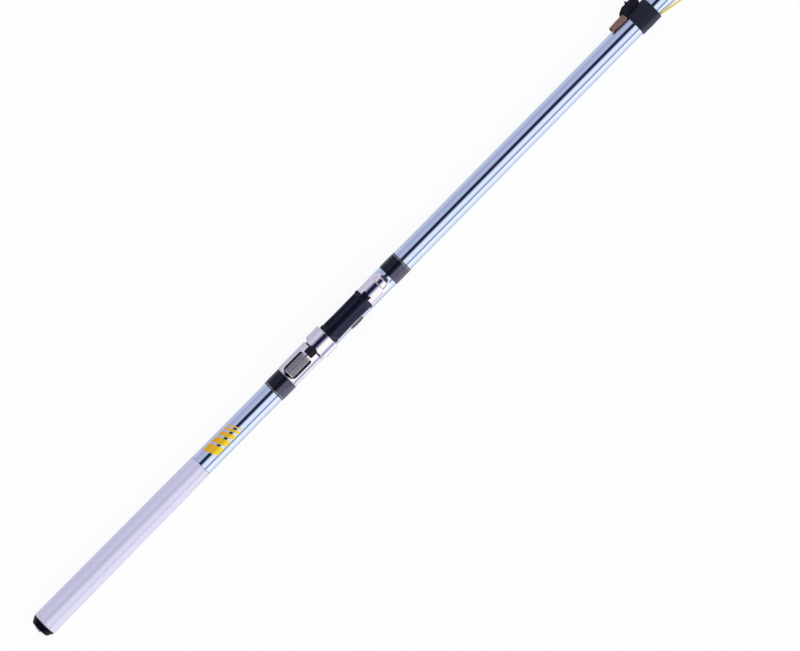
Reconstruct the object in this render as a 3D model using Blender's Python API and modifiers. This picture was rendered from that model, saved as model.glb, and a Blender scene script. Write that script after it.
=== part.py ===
"""Telescopic rock fishing rod, closed, in metres. It lies along +X from its butt end, reel seat facing +Z.

The butt section carries a white grip, a plate reel seat with a screw lock, and an elastic strap. Three tubes
and a solid tip nest inside it, each with a guide on its end, and a cradle holds the closed stack of guides.
"""

import math

import bmesh
import bpy

# Butt section and grip
CLEARANCE = 0.0003
MOUTH_X = 1.080
GRIP_START, GRIP_END = 0.0108, 0.2442
GRIP_RADIUS_BUTT, GRIP_RADIUS_FRONT = 0.0142, 0.01305
GRIP_WALL = 0.0006
BLANK_RADIUS_GRIP, BLANK_RADIUS_MOUTH = 0.01270, 0.01195
BORE_STATIONS = ((0.0108, 0.0119), (0.240, 0.0110), (MOUTH_X, 0.0107))
BODY_STEPS, BAND_STEPS, RING_STEPS, BORE_STEPS = 40, 32, 20, 16

# Butt cap, its coin disc, and the cushion that the nested sections rest on
CAP_FACE_X, CAP_BACK_X = 0.0020, 0.0094
CAP_FACE_RADIUS, CAP_RADIUS, CAP_CHAMFER_X = 0.0095, 0.0140, 0.0066
CAP_PLUG_RADIUS, CAP_PLUG_END = 0.0113, 0.0202
DISC_RADIUS, DISC_DEPTH, DISC_NOTCH, NOTCH_REACH, NOTCH_DEPTH = 0.0055, 0.0033, 0.0014, 0.0037, 0.0012
EDGE_ROUNDING = 0.0004
TRIM_RING_X, TRIM_RING_WIDTH = 0.0097, 0.0008
CUSHION_START, CUSHION_END, CUSHION_RADIUS, CUSHION_ROUNDING = 0.0205, 0.0280, 0.0108, 0.0008

# Thread windings of the reel seat
WINDING_WALL = 0.0005
LOWER_WINDING = (0.3546, 0.3714)
UPPER_WINDING = (0.5240, 0.5436)
GOLD_TRIM_WIDTH = 0.0016

# Reel seat plate
PLATE_WALL = 0.0014
PLATE_START, PLATE_TIP = 0.4062, 0.5226
PLATE_HALF_ANGLE = math.radians(50)
PLATE_TIP_HALF_ANGLE = math.radians(26)
PLATE_TAPER_X = 0.5116
DECK_X = (0.4360, 0.4890)
DECK_Z = 0.0134

# Every arch of the seat has the same section: a wide crown, round shoulders and upright sides
CROWN_RADIUS, SHOULDER_RADIUS, SHOULDER_SHARE = 0.0175, 0.0024, 0.30
OVERLAP_SHARE = 0.6

# Screw housing with its window
HOUSING_START, HOUSING_END = 0.3718, 0.4127
HOUSING_HALF_WIDTH, HOUSING_BASE, HOUSING_TOP = 0.0128, 0.0056, 0.0242
HOUSING_RISE = (
    (HOUSING_START, 0.0152), (0.3725, 0.0190), (0.3735, 0.0218), (0.3750, 0.0235), (0.3768, HOUSING_TOP),
    (0.3950, HOUSING_TOP), (HOUSING_END, HOUSING_TOP),
)
HOUSING_WALL = 0.0010
WINDOW_X = (0.3768, 0.4037)
WINDOW_HALF_WIDTH, WINDOW_FLOOR, WINDOW_ROUNDING = 0.0084, 0.0160, 0.0009
PARTITION_WIDTH = 0.0020
NECK_SLOT_HALF_WIDTH = 0.0055
SKY_Z = 0.0320

# Free space that the seat's parts leave round the blank and round the plate
BLANK_SPACE_RADIUS, PLATE_SPACE_RADIUS = 0.01300, 0.01455
PLATE_SPACE_START, PLATE_SPACE_END = 0.4048, 0.4400

# Lock nut and screw, on one axis above the blank
SCREW_AXIS_Z = 0.01975
NUT_X = (0.3773, 0.4032)
NUT_RADIUS, NUT_BORE, NUT_CHAMFER, NUT_WEB = 0.0067, 0.00545, 0.0005, 0.0010
SCREW_RADIUS, SCREW_START, SCREW_END = 0.00515, 0.3865, 0.4238
JOURNAL_RADIUS, JOURNAL_LENGTH = 0.0030, 0.0018
JOURNAL_BORE_X, SCREW_BORE_X = (0.3752, 0.3775), (0.4000, 0.4090)
SCREW_NECK_LENGTH, SCREW_NECK_RADIUS = 0.0022, 0.00435

# Sliding hood, which telescopes over the housing's end
HOOD_X = (0.4153, 0.4346)
HOOD_HALF_WIDTH, HOOD_BASE = 0.0145, 0.0040
HOOD_TOP = ((0.4153, 0.0263), (0.4215, 0.0263), (0.4290, 0.0256), (0.4346, 0.0236))
HOOD_WALL = 0.0009
HOOD_BLOCK_X, HOOD_BLOCK_BASE = (0.4218, 0.4243), 0.0060
SKIRT_INNER_HALF_WIDTH, SKIRT_INNER_TOP = 0.0131, 0.0090
SCREW_SEAT_X, SCREW_SEAT_RADIUS = (0.4210, 0.4241), 0.00465
SCALLOP_RADIUS, SCALLOP_OVERHANG, SCALLOP_Z = 0.0075, 0.0052, (0.0200, 0.0320)
LINER_WALL, LINER_FOOT, LINER_SETBACK = 0.0008, 0.0152, 0.0004

# Fixed hood
FIXED_HOOD_X = (0.4910, 0.5093)
FIXED_HOOD_HALF_WIDTH, FIXED_HOOD_BASE = 0.0113, 0.0102
FIXED_HOOD_TOP = (
    (0.4910, 0.0212), (0.4980, 0.0210), (0.5040, 0.0194), (0.5072, 0.0176), (0.5093, 0.0160),
)
FIXED_HOOD_WALL = 0.0010
FIXED_LINER_X = (0.4957, 0.5034)
NOTCH_FOOT, NOTCH_GAP = 0.0150, 0.0006

# Cover that fills the seat while no reel is fitted
COVER_X = (0.4350, 0.4906)
COVER_HALF_WIDTH, COVER_BASE, COVER_TOP = 0.0110, 0.0110, 0.0200
COVER_WALL, COVER_RIM_WIDTH, COVER_RIM_RISE, COVER_WAIST = 0.0016, 0.0046, 0.0006, 0.0004
TONGUE_LENGTH, TONGUE_HALF_WIDTH, TONGUE_BASE = 0.0038, 0.0045, 0.0165

# Finger pad under the tube: half of its way round at each station, and the direction its middle faces
PAD_WALL, PAD_GAP = 0.0007, 0.0005
PAD_STATIONS = (
    (0.4563, 45), (0.4580, 72), (0.4612, 90), (0.4655, 96), (0.4698, 90), (0.4730, 72), (0.4747, 45),
)
PAD_MIDDLE = 196

# Elastic strap with its gathered end and toggle
STRAP_X = (0.8936, 0.9203)
STRAP_WALL = 0.0010
GATHER_LOW, GATHER_HIGH, GATHER_ROUNDING = (0.89325, 0.0135, -0.0040), (0.91475, 0.0225, 0.0080), 0.0034
TOGGLE_X = (0.8710, 0.8925)
TOGGLE_Y, TOGGLE_Z = 0.0130, 0.0098
TOGGLE_RADIUS_TIP, TOGGLE_RADIUS_BACK, TOGGLE_ROUNDING = 0.0028, 0.0040, 0.0010
TOGGLE_BEND_PLACE, TOGGLE_BEND_WIDTH = 0.4, 0.55

# Yellow keeper cord, from the strap's edge down to the floor beside the rod
CORD_RADIUS, CORD_STEP = 0.0009, 0.0049
FLOOR_Z = -0.0142
CORD_POINTS = (
    (0.9206, -0.01150, 0.00650),
    (0.9270, -0.01265, 0.00610),
    (0.9340, -0.01390, 0.00430),
    (0.9410, -0.01480, 0.00050),
    (0.9475, -0.01560, -0.00440),
    (0.9545, -0.01690, -0.00900),
    (0.9630, -0.01880, -0.01220),
    (0.9735, -0.02110, -0.01325),
    (0.9860, -0.02340, -0.01330),
    (1.0000, -0.02540, -0.01330),
    (1.0150, -0.02660, -0.01330),
    (1.0300, -0.02660, -0.01330),
    (1.0450, -0.02570, -0.01330),
    (1.0600, -0.02480, -0.01330),
    (1.0750, -0.02460, -0.01330),
    (1.0900, -0.02520, -0.01330),
    (1.1050, -0.02610, -0.01330),
)
KNOT_LENGTH, KNOT_RADIUS = 0.0064, 0.0024
KNOT_SHAPE = ((1.0, 0.45), (0.75, 0.92), (0.5, 1.0), (0.25, 0.92), (0.0, 0.45))

# Nested sections: start, end, radius at the start, radius at the end, wall
SECTIONS = {
    2: (0.0300, 1.0995, 0.0103, 0.0091, 0.00095),
    3: (0.0303, 1.1195, 0.0078, 0.0067, 0.00085),
    4: (0.0306, 1.1395, 0.0055, 0.0045, 0.00075),
}
TIP_START, TIP_END = 0.0309, 1.1520
TIP_RADIUS_START, TIP_RADIUS_END = 0.0034, 0.0013

# Guides: collar start and end, blank radius there, ring bore radius, insert wall, holder wall
GUIDES = {
    1: (1.0633, 1.0797, 0.0119, 0.0100, 0.0019, 0.0018),
    2: (1.0873, 1.0992, 0.0091, 0.0080, 0.0017, 0.0016),
    3: (1.1083, 1.1192, 0.0067, 0.0065, 0.0015, 0.0014),
    4: (1.1288, 1.1392, 0.0045, 0.0050, 0.0013, 0.0012),
}
GUIDE_WINDINGS = {1: (1.0370, 1.0630), 2: (1.0815, 1.0870), 3: (1.1020, 1.1080), 4: (1.1225, 1.1285)}
COLLAR_WALL, GUIDE_WINDING_WALL = 0.0008, 0.0007
RING_WIDTH, RING_PROUD, RING_LIFT, RING_AHEAD = 0.0026, 0.0004, 0.0034, 0.0020
RING_ROUNDING_SHARE, LEG_THICKNESS_SHARE, KNEE_LIFT = 0.3, 0.6, 0.0020
GUIDE_TILT, HIP_ANGLE = math.radians(12), math.radians(22)
LEG_FOOT, LEG_KNEE = (0.12, 0.30, 0.955), (0.35, 0.36, 1.0)

# Guide on the tip: its tube, and its ring's centre, bore radius, insert wall, holder wall and tilt
TIP_TOP_TUBE, TIP_TOP_WALL = (1.1440, 1.1560), 0.0006
TIP_RING_CENTRE = (1.1618, 0.0, 0.0056)
TIP_RING_BORE, TIP_RING_WALL, TIP_RING_WIDTH, TIP_TILT = 0.0035, 0.0011, 0.0022, math.radians(20)
STRUT_RADIUS, NOSE_RADIUS = 0.0006, 0.0008
STRUT_FOOT, STRUT_HIP_BACK, STRUT_HIP_ASIDE, STRUT_HIP_DROP = (0.4, 0.5, 0.8), 0.0010, 0.96, 0.0016

# Cradle round the closed stack of guides: x, half-width, half-width of the foot, foot height at each station
CRADLE_STATIONS = (
    (1.0660, 0.0148, 0.0090, -0.0138),
    (1.0672, 0.0154, 0.0095, -0.0142),
    (1.1560, 0.0154, 0.0095, -0.0142),
    (1.1680, 0.0132, 0.0075, -0.0134),
    (1.1740, 0.0105, 0.0050, -0.0112),
    (1.1760, 0.0088, 0.0040, -0.0094),
)
CRADLE_CORNER = ((1.0, 0.5), (0.85, 0.75), (0.5, 0.92), (0.0, 1.0))
CRADLE_TOP, CRADLE_NOSE_TOP, CRADLE_NOSE_BLEND = 0.0085, 0.0060, 0.0030
CRADLE_BORES = ((1.0655, 0.0133), (1.0835, 0.0112), (1.1040, 0.0087), (1.1240, 0.0065), (1.1430, 0.0068))
CRADLE_BORE_END = 1.1722


def clear_scene():
    """Removes what the startup file holds."""
    for obj in list(bpy.data.objects):
        bpy.data.objects.remove(obj)


def make_collection(name):
    collection = bpy.data.collections.new(name)
    bpy.context.scene.collection.children.link(collection)
    return collection


def make_finish(name, colour, roughness, metallic=0.0):
    """A Principled material of one colour."""
    material = bpy.data.materials.new(name)
    material.use_nodes = True
    shader = material.node_tree.nodes["Principled BSDF"]
    shader.inputs["Base Color"].default_value = (*colour, 1.0)
    shader.inputs["Roughness"].default_value = roughness
    shader.inputs["Metallic"].default_value = metallic
    material.diffuse_color = (*colour, 1.0)
    return material


def add_object(name, mesh, finish):
    """Links a mesh as a part, or as a helper when it has no finish."""
    obj = bpy.data.objects.new(name, mesh)
    if finish is None:
        cutters.objects.link(obj)
        obj.hide_render = True
        obj.display_type = "WIRE"
    else:
        parts.objects.link(obj)
        mesh.materials.append(finish)
        mesh.shade_smooth()
        mesh.set_sharp_from_angle(angle=math.radians(35))
    return obj


def mix(start, end, share):
    return start + (end - start) * share


def along(stations, x):
    """The value at x on straight lines between (x, value) stations."""
    for (x0, v0), (x1, v1) in zip(stations, stations[1:]):
        if x <= x1:
            return mix(v0, v1, max(0.0, (x - x0) / (x1 - x0)))
    return stations[-1][1]


def grip_radius(x):
    return along(((GRIP_START, GRIP_RADIUS_BUTT), (GRIP_END, GRIP_RADIUS_FRONT)), x)


def blank_radius(x):
    return along(((GRIP_END, BLANK_RADIUS_GRIP), (MOUTH_X, BLANK_RADIUS_MOUTH)), x)


def turned(name, finish, profile, steps=RING_STEPS, closed=True):
    """Turns (x, radius) points, the far end first, round the X axis. A facet lies lowest."""
    phase = -math.pi / 2 + math.pi / steps
    points = [(x, r * math.cos(phase), r * math.sin(phase)) for x, r in profile]
    edges = [(i, i + 1) for i in range(len(points) - 1)]
    if closed:
        edges.append((len(points) - 1, 0))
    mesh = bpy.data.meshes.new(name)
    mesh.from_pydata(points, edges, [])
    obj = add_object(name, mesh, finish)
    screw = obj.modifiers.new("Turn", "SCREW")
    screw.axis = "X"
    screw.steps = screw.render_steps = steps
    screw.use_merge_vertices = True
    screw.merge_threshold = 1e-5
    return obj


def ring_profile(x0, x1, outer0, outer1, inner0, inner1):
    """The closed profile of a tube from x0 to x1."""
    return [(x1, outer1), (x0, outer0), (x0, inner0), (x1, inner1)]


def rod_profile(x0, x1, radius):
    """The open profile of a plain round bar from x0 to x1."""
    return [(x1, 0.0), (x1, radius), (x0, radius), (x0, 0.0)]


def block(name, low, high, finish=None, bevel=0.0, segments=2):
    """A box between two corners, its edges rounded."""
    mesh = bpy.data.meshes.new(name)
    shape = bmesh.new()
    bmesh.ops.create_cube(shape, size=1.0)
    for vertex in shape.verts:
        vertex.co = [mix(a, b, c + 0.5) for a, b, c in zip(low, high, vertex.co)]
    shape.to_mesh(mesh)
    shape.free()
    obj = add_object(name, mesh, finish)
    if bevel:
        modifier = obj.modifiers.new("Rounded edges", "BEVEL")
        modifier.width = bevel
        modifier.segments = segments
    return obj


def arch(half_width, base, top, inset=0.0):
    """(y, z) points of an arch, or of a line inset from it, from its foot at -Y over the crown to +Y."""
    shoulder = min(SHOULDER_RADIUS, SHOULDER_SHARE * (top - base))
    reach = CROWN_RADIUS - shoulder
    middle_y = half_width - shoulder
    crown_z = top - CROWN_RADIUS
    middle_z = crown_z + math.sqrt(reach**2 - middle_y**2)
    turn = math.asin(middle_y / reach)
    round_radius, crown_radius = shoulder - inset, CROWN_RADIUS - inset
    flank = [(half_width - inset, base)]
    for step in range(3):
        angle = mix(math.pi / 2, turn, step / 3)
        flank.append((middle_y + round_radius * math.sin(angle), middle_z + round_radius * math.cos(angle)))
    for step in range(4):
        angle = turn * (1 - step / 4)
        flank.append((crown_radius * math.sin(angle), crown_z + crown_radius * math.cos(angle)))
    return [(-y, z) for y, z in flank] + [(0.0, top - inset)] + flank[::-1]


def lofted_shell(name, finish, stations, wall):
    """A sheet through sections of (x, points), thickened inwards."""
    count = len(stations[0][1])
    points = [(x, y, z) for x, section in stations for y, z in section]
    faces = [
        (i * count + j, (i + 1) * count + j, (i + 1) * count + j + 1, i * count + j + 1)
        for i in range(len(stations) - 1)
        for j in range(count - 1)
    ]
    mesh = bpy.data.meshes.new(name)
    mesh.from_pydata(points, [], faces)
    obj = add_object(name, mesh, finish)
    thickness = obj.modifiers.new("Sheet thickness", "SOLIDIFY")
    thickness.thickness = wall
    thickness.offset = -1
    thickness.use_even_offset = True
    return obj


def lofted_block(name, finish, stations):
    """A solid through closed sections of (x, points), with flat ends."""
    mesh = bpy.data.meshes.new(name)
    shape = bmesh.new()
    rings = [[shape.verts.new((x, y, z)) for y, z in section] for x, section in stations]
    for ring, following in zip(rings, rings[1:]):
        for corners in zip(ring, following, following[1:] + following[:1], ring[1:] + ring[:1]):
            shape.faces.new(corners)
    shape.faces.new(rings[0])
    shape.faces.new(rings[-1])
    bmesh.ops.recalc_face_normals(shape, faces=shape.faces)
    shape.to_mesh(mesh)
    shape.free()
    return add_object(name, mesh, finish)


def arch_block(name, x_range, half_width, base, top, inset=0.0):
    """A helper slice with an arch for its outline."""
    return lofted_block(name, None, [(x, arch(half_width, base, top, inset)) for x in x_range])


def combine(target, other, operation):
    modifier = target.modifiers.new(operation.capitalize() + " " + other.name, "BOOLEAN")
    modifier.operation = operation
    modifier.object = other


def smooth_route(points, per_span):
    """Points along a Catmull-Rom curve through the given ones."""
    ends = [points[0], *points, points[-1]]
    route = []
    for a, b, c, d in zip(ends, ends[1:], ends[2:], ends[3:]):
        for step in range(per_span):
            t = step / per_span
            route.append(
                tuple(
                    q + 0.5 * t * (r - p + t * (2 * p - 5 * q + 4 * r - s + t * (3 * q - p - 3 * r + s)))
                    for p, q, r, s in zip(a, b, c, d)
                )
            )
    return route + [points[-1]]


def even_steps(route, step):
    """Points of the same route about one step apart, its two ends kept."""
    total = sum(math.dist(a, b) for a, b in zip(route, route[1:]))
    count = round(total / step)
    points, walked = [route[0]], 0.0
    for a, b in zip(route, route[1:]):
        span = math.dist(a, b)
        while len(points) < count and walked + span >= len(points) * total / count:
            share = (len(points) * total / count - walked) / span
            points.append(tuple(mix(p, q, share) for p, q in zip(a, b)))
        walked += span
    return points + [route[-1]]


def tube_curve(name, points, radius, resolution):
    """A curve through the points with a round section and closed ends."""
    curve = bpy.data.curves.new(name, "CURVE")
    curve.dimensions = "3D"
    curve.bevel_depth = radius
    curve.bevel_resolution = resolution
    curve.use_fill_caps = True
    spline = curve.splines.new("POLY")
    spline.points.add(len(points) - 1)
    for target, point in zip(spline.points, points):
        target.co = (*point, 1.0)
    return curve


def wire(name, points, radius):
    """A round wire through the points, made a closed mesh so that it can be joined to others."""
    guide = bpy.data.objects.new(name + " route", tube_curve(name, points, radius, 1))
    cutters.objects.link(guide)
    bpy.context.view_layer.update()
    mesh = bpy.data.meshes.new_from_object(guide.evaluated_get(bpy.context.evaluated_depsgraph_get()))
    bpy.data.objects.remove(guide)
    shape = bmesh.new()
    shape.from_mesh(mesh)
    bmesh.ops.remove_doubles(shape, verts=shape.verts, dist=1e-6)
    shape.to_mesh(mesh)
    shape.free()
    mesh.name = name
    return add_object(name, mesh, None)


def make_butt_section():
    """The butt tube, rebated under the grip, with the grip sleeve and the trim ring at its end."""
    rebate = GRIP_WALL + CLEARANCE
    outer = [
        (MOUTH_X, BLANK_RADIUS_MOUTH),
        (GRIP_END + CLEARANCE, BLANK_RADIUS_GRIP),
        (GRIP_END + CLEARANCE, grip_radius(GRIP_END) - rebate),
        (GRIP_START, GRIP_RADIUS_BUTT - rebate),
    ]
    turned("butt_blank", silver, outer + list(BORE_STATIONS), BODY_STEPS)
    inner = [GRIP_RADIUS_BUTT - GRIP_WALL, GRIP_RADIUS_FRONT - GRIP_WALL]
    turned(
        "grip_sleeve",
        white,
        ring_profile(GRIP_START, GRIP_END, GRIP_RADIUS_BUTT, GRIP_RADIUS_FRONT, *inner),
        BODY_STEPS,
    )
    turned(
        "butt_trim_ring",
        steel,
        ring_profile(
            TRIM_RING_X, TRIM_RING_X + TRIM_RING_WIDTH, CAP_RADIUS, CAP_RADIUS,
            CAP_PLUG_RADIUS + CLEARANCE, CAP_PLUG_RADIUS + CLEARANCE,
        ),
        BAND_STEPS,
    )


def make_butt_cap():
    """The cap with its plug, the disc in its face, and the cushion on the plug's inner end."""
    recess_radius = DISC_RADIUS + CLEARANCE
    profile = [
        (CAP_PLUG_END, 0.0),
        (CAP_PLUG_END, CAP_PLUG_RADIUS),
        (CAP_BACK_X, CAP_PLUG_RADIUS),
        (CAP_BACK_X, CAP_RADIUS),
        (CAP_CHAMFER_X, CAP_RADIUS),
        (CAP_FACE_X + EDGE_ROUNDING, CAP_FACE_RADIUS + EDGE_ROUNDING),
        (CAP_FACE_X, CAP_FACE_RADIUS),
        (CAP_FACE_X, recess_radius),
        (DISC_DEPTH + CLEARANCE, recess_radius),
        (DISC_DEPTH + CLEARANCE, 0.0),
    ]
    turned("butt_cap", black_plastic, profile, BAND_STEPS, closed=False)
    rim = (EDGE_ROUNDING, DISC_RADIUS), (0.0, DISC_RADIUS - EDGE_ROUNDING)
    disc_profile = [(DISC_DEPTH, 0.0), (DISC_DEPTH, DISC_RADIUS), *rim, (0.0, 0.0)]
    disc = turned("cap_coin_disc", steel, disc_profile, closed=False)
    for side in (-1, 1):
        near, far = sorted((side * NOTCH_REACH, side * (DISC_RADIUS + DISC_NOTCH)))
        low, high = (-DISC_NOTCH, -DISC_NOTCH / 2, near), (NOTCH_DEPTH, DISC_NOTCH / 2, far)
        notch = block(f"Notch {side}", low, high)
        combine(disc, notch, "DIFFERENCE")
    turned(
        "cap_cushion",
        rubber,
        [
            (CUSHION_END, 0.0),
            (CUSHION_END, CUSHION_RADIUS - CUSHION_ROUNDING),
            (CUSHION_END - CUSHION_ROUNDING, CUSHION_RADIUS),
            (CUSHION_START + CUSHION_ROUNDING, CUSHION_RADIUS),
            (CUSHION_START, CUSHION_RADIUS - CUSHION_ROUNDING),
            (CUSHION_START, 0.0),
        ],
        closed=False,
    )


def make_band(name, x0, x1, radius, finish, wall=WINDING_WALL, steps=BAND_STEPS):
    """A band of thread or cloth round the blank."""
    inner = radius + CLEARANCE
    outer = inner + wall
    turned(name, finish, ring_profile(x0, x1, outer, outer, inner, inner), steps)


def make_seat_windings():
    """The two black bands that bind the reel seat, each with a gold trim band on its outer side."""
    low_start, low_end = LOWER_WINDING
    up_start, up_end = UPPER_WINDING
    low_radius, up_radius = blank_radius(low_start), blank_radius(up_start)
    low_trim_end, up_trim_start = low_start - CLEARANCE, up_end + CLEARANCE
    make_band("winding_lower", low_start, low_end, low_radius, black_thread)
    make_band("winding_lower_trim", low_trim_end - GOLD_TRIM_WIDTH, low_trim_end, low_radius, gold)
    make_band("winding_upper", up_start, up_end, up_radius, black_thread)
    make_band("winding_upper_trim", up_trim_start, up_trim_start + GOLD_TRIM_WIDTH, up_radius, gold)


def make_seat_plate():
    """The pressed plate that lies on the blank: a saddle with a flat deck, narrowing to a cut-off foot."""
    count = 14
    stations = []
    taper_middle = mix(PLATE_TAPER_X, PLATE_TIP, 0.5)
    for x in (PLATE_START, DECK_X[0], mix(*DECK_X, 0.5), DECK_X[1], PLATE_TAPER_X, taper_middle, PLATE_TIP):
        share = max(0.0, (x - PLATE_TAPER_X) / (PLATE_TIP - PLATE_TAPER_X))
        half_angle = mix(PLATE_HALF_ANGLE, PLATE_TIP_HALF_ANGLE, share)
        radius = blank_radius(x) + CLEARANCE + PLATE_WALL
        angles = [mix(-half_angle, half_angle, j / count) for j in range(count + 1)]
        stations.append((x, [(radius * math.sin(a), radius * math.cos(a)) for a in angles]))
    plate = lofted_shell("seat_plate", steel, stations, PLATE_WALL)
    deck = block("Deck flat", (DECK_X[0], -0.02, DECK_Z), (DECK_X[1], 0.02, DECK_Z + 0.01))
    combine(plate, deck, "DIFFERENCE")


def bore_cutter(name, x_range, radius):
    """A round cutter on the lock screw's axis."""
    cutter = turned(name, None, rod_profile(*x_range, radius), BORE_STEPS, closed=False)
    cutter.location.z = SCREW_AXIS_Z
    return cutter


def make_screw_housing():
    """The arched housing: a solid nose, a room for the nut with a window above, and a slot for the screw."""
    stations = [(x, arch(HOUSING_HALF_WIDTH, HOUSING_BASE, top)) for x, top in HOUSING_RISE]
    housing = lofted_block("screw_housing", steel, stations)
    inside = (HOUSING_HALF_WIDTH, 0.0, HOUSING_TOP, HOUSING_WALL)
    partition_end = WINDOW_X[1] + PARTITION_WIDTH
    for name, room in (("Nut room", WINDOW_X), ("Neck room", (partition_end, SCREW_END))):
        combine(housing, arch_block(name, room, *inside), "DIFFERENCE")
    space_profile = [
        (PLATE_SPACE_END, 0.0),
        (PLATE_SPACE_END, PLATE_SPACE_RADIUS),
        (PLATE_SPACE_START, PLATE_SPACE_RADIUS),
        (PLATE_SPACE_START, BLANK_SPACE_RADIUS),
        (LOWER_WINDING[0], BLANK_SPACE_RADIUS),
        (LOWER_WINDING[0], 0.0),
    ]
    space = turned("Space for blank and plate", None, space_profile, BAND_STEPS, closed=False)
    combine(housing, space, "DIFFERENCE")
    low, high = (WINDOW_X[0], -WINDOW_HALF_WIDTH, WINDOW_FLOOR), (WINDOW_X[1], WINDOW_HALF_WIDTH, SKY_Z)
    combine(housing, block("Window", low, high, bevel=WINDOW_ROUNDING), "DIFFERENCE")
    low = (partition_end, -NECK_SLOT_HALF_WIDTH, WINDOW_FLOOR)
    high = (HOUSING_END + PARTITION_WIDTH, NECK_SLOT_HALF_WIDTH, SKY_Z)
    combine(housing, block("Neck slot", low, high), "DIFFERENCE")
    for name, bore_x, radius in (
        ("Journal bore", JOURNAL_BORE_X, JOURNAL_RADIUS), ("Screw bore", SCREW_BORE_X, SCREW_RADIUS),
    ):
        combine(housing, bore_cutter(name, bore_x, radius + CLEARANCE), "DIFFERENCE")


def make_lock():
    """The lock nut, turning in the window, and the screw that it drives."""
    nut_start, nut_end = NUT_X
    profile = [
        (nut_end, NUT_BORE),
        (nut_end, NUT_RADIUS - NUT_CHAMFER),
        (nut_end - NUT_CHAMFER, NUT_RADIUS),
        (nut_start + NUT_CHAMFER, NUT_RADIUS),
        (nut_start, NUT_RADIUS - NUT_CHAMFER),
        (nut_start, JOURNAL_RADIUS),
        (nut_start - JOURNAL_LENGTH, JOURNAL_RADIUS),
        (nut_start - JOURNAL_LENGTH, 0.0),
        (nut_start + NUT_WEB, 0.0),
        (nut_start + NUT_WEB, NUT_BORE),
    ]
    nut = turned("lock_nut", knurled_steel, profile)
    nut.location.z = SCREW_AXIS_Z
    screw = turned(
        "lock_screw",
        black_steel,
        [
            (SCREW_END, 0.0),
            (SCREW_END, SCREW_NECK_RADIUS),
            (SCREW_END - SCREW_NECK_LENGTH, SCREW_NECK_RADIUS),
            (SCREW_END - SCREW_NECK_LENGTH, SCREW_RADIUS),
            (SCREW_START + NUT_CHAMFER, SCREW_RADIUS),
            (SCREW_START, SCREW_RADIUS - NUT_CHAMFER),
            (SCREW_START, 0.0),
        ],
        closed=False,
    )
    screw.location.z = SCREW_AXIS_Z


def make_sliding_hood():
    """The hood that clamps the reel's foot, with the block that holds the screw, and the hood's liner."""
    stations = [(x, arch(HOOD_HALF_WIDTH, HOOD_BASE, top)) for x, top in HOOD_TOP]
    hood = lofted_shell("sliding_hood", steel, stations, HOOD_WALL)
    block_top = HOOD_TOP[0][1] - HOOD_WALL
    inside = (HOOD_HALF_WIDTH - OVERLAP_SHARE * HOOD_WALL, HOOD_BLOCK_BASE, block_top)
    combine(hood, arch_block("Hood block", HOOD_BLOCK_X, *inside), "UNION")
    low = (HOUSING_END, -SKIRT_INNER_HALF_WIDTH, FLOOR_Z)
    high = (PLATE_SPACE_END, SKIRT_INNER_HALF_WIDTH, SKIRT_INNER_TOP)
    combine(hood, block("Space between the skirts", low, high), "DIFFERENCE")
    space_profile = rod_profile(HOUSING_END, PLATE_SPACE_END, PLATE_SPACE_RADIUS)
    space = turned("Space for the plate", None, space_profile, BAND_STEPS, closed=False)
    combine(hood, space, "DIFFERENCE")
    combine(hood, bore_cutter("Screw seat", SCREW_SEAT_X, SCREW_SEAT_RADIUS), "DIFFERENCE")
    scallop = turned("Rim scallop", None, rod_profile(*SCALLOP_Z, SCALLOP_RADIUS), closed=False)
    scallop.rotation_euler.y = -math.pi / 2
    scallop.location.x = HOOD_X[0] - SCALLOP_OVERHANG
    combine(hood, scallop, "DIFFERENCE")
    places = (HOOD_BLOCK_X[1] + CLEARANCE, HOOD_TOP[2][0], HOOD_X[1] - LINER_SETBACK)
    make_liner("sliding_hood_liner", places, HOOD_TOP, HOOD_HALF_WIDTH, HOOD_BASE, HOOD_WALL)


def make_liner(name, places, tops, half_width, base, wall):
    """A thin moulded liner under a hood's arch, ending above the foot that it holds down."""
    inset = wall + CLEARANCE
    stations = [(x, arch(half_width, base, along(tops, x), inset)) for x in places]
    liner = lofted_shell(name, black_plastic, stations, LINER_WALL)
    low = (places[0] - LINER_WALL, -half_width, 0.0)
    high = (places[-1] + LINER_WALL, half_width, LINER_FOOT)
    combine(liner, block("Below " + name, low, high), "DIFFERENCE")


def make_fixed_hood():
    """The front hood on the plate, its mouth towards the butt, sloping down to a closed end."""
    mouth = FIXED_HOOD_X[0]
    shape = (FIXED_HOOD_HALF_WIDTH, FIXED_HOOD_BASE)
    stations = [(x, arch(*shape, top)) for x, top in FIXED_HOOD_TOP]
    hood = lofted_shell("fixed_hood", steel, stations, FIXED_HOOD_WALL)
    half_width = TONGUE_HALF_WIDTH + NOTCH_GAP
    low = (mouth - NOTCH_GAP, -half_width, NOTCH_FOOT)
    high = (mouth + TONGUE_LENGTH + NOTCH_GAP, half_width, SKY_Z)
    combine(hood, block("Mouth notch", low, high), "DIFFERENCE")
    places = (FIXED_LINER_X[0], FIXED_HOOD_TOP[1][0], FIXED_LINER_X[1])
    make_liner("fixed_hood_liner", places, FIXED_HOOD_TOP, *shape, FIXED_HOOD_WALL)


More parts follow.
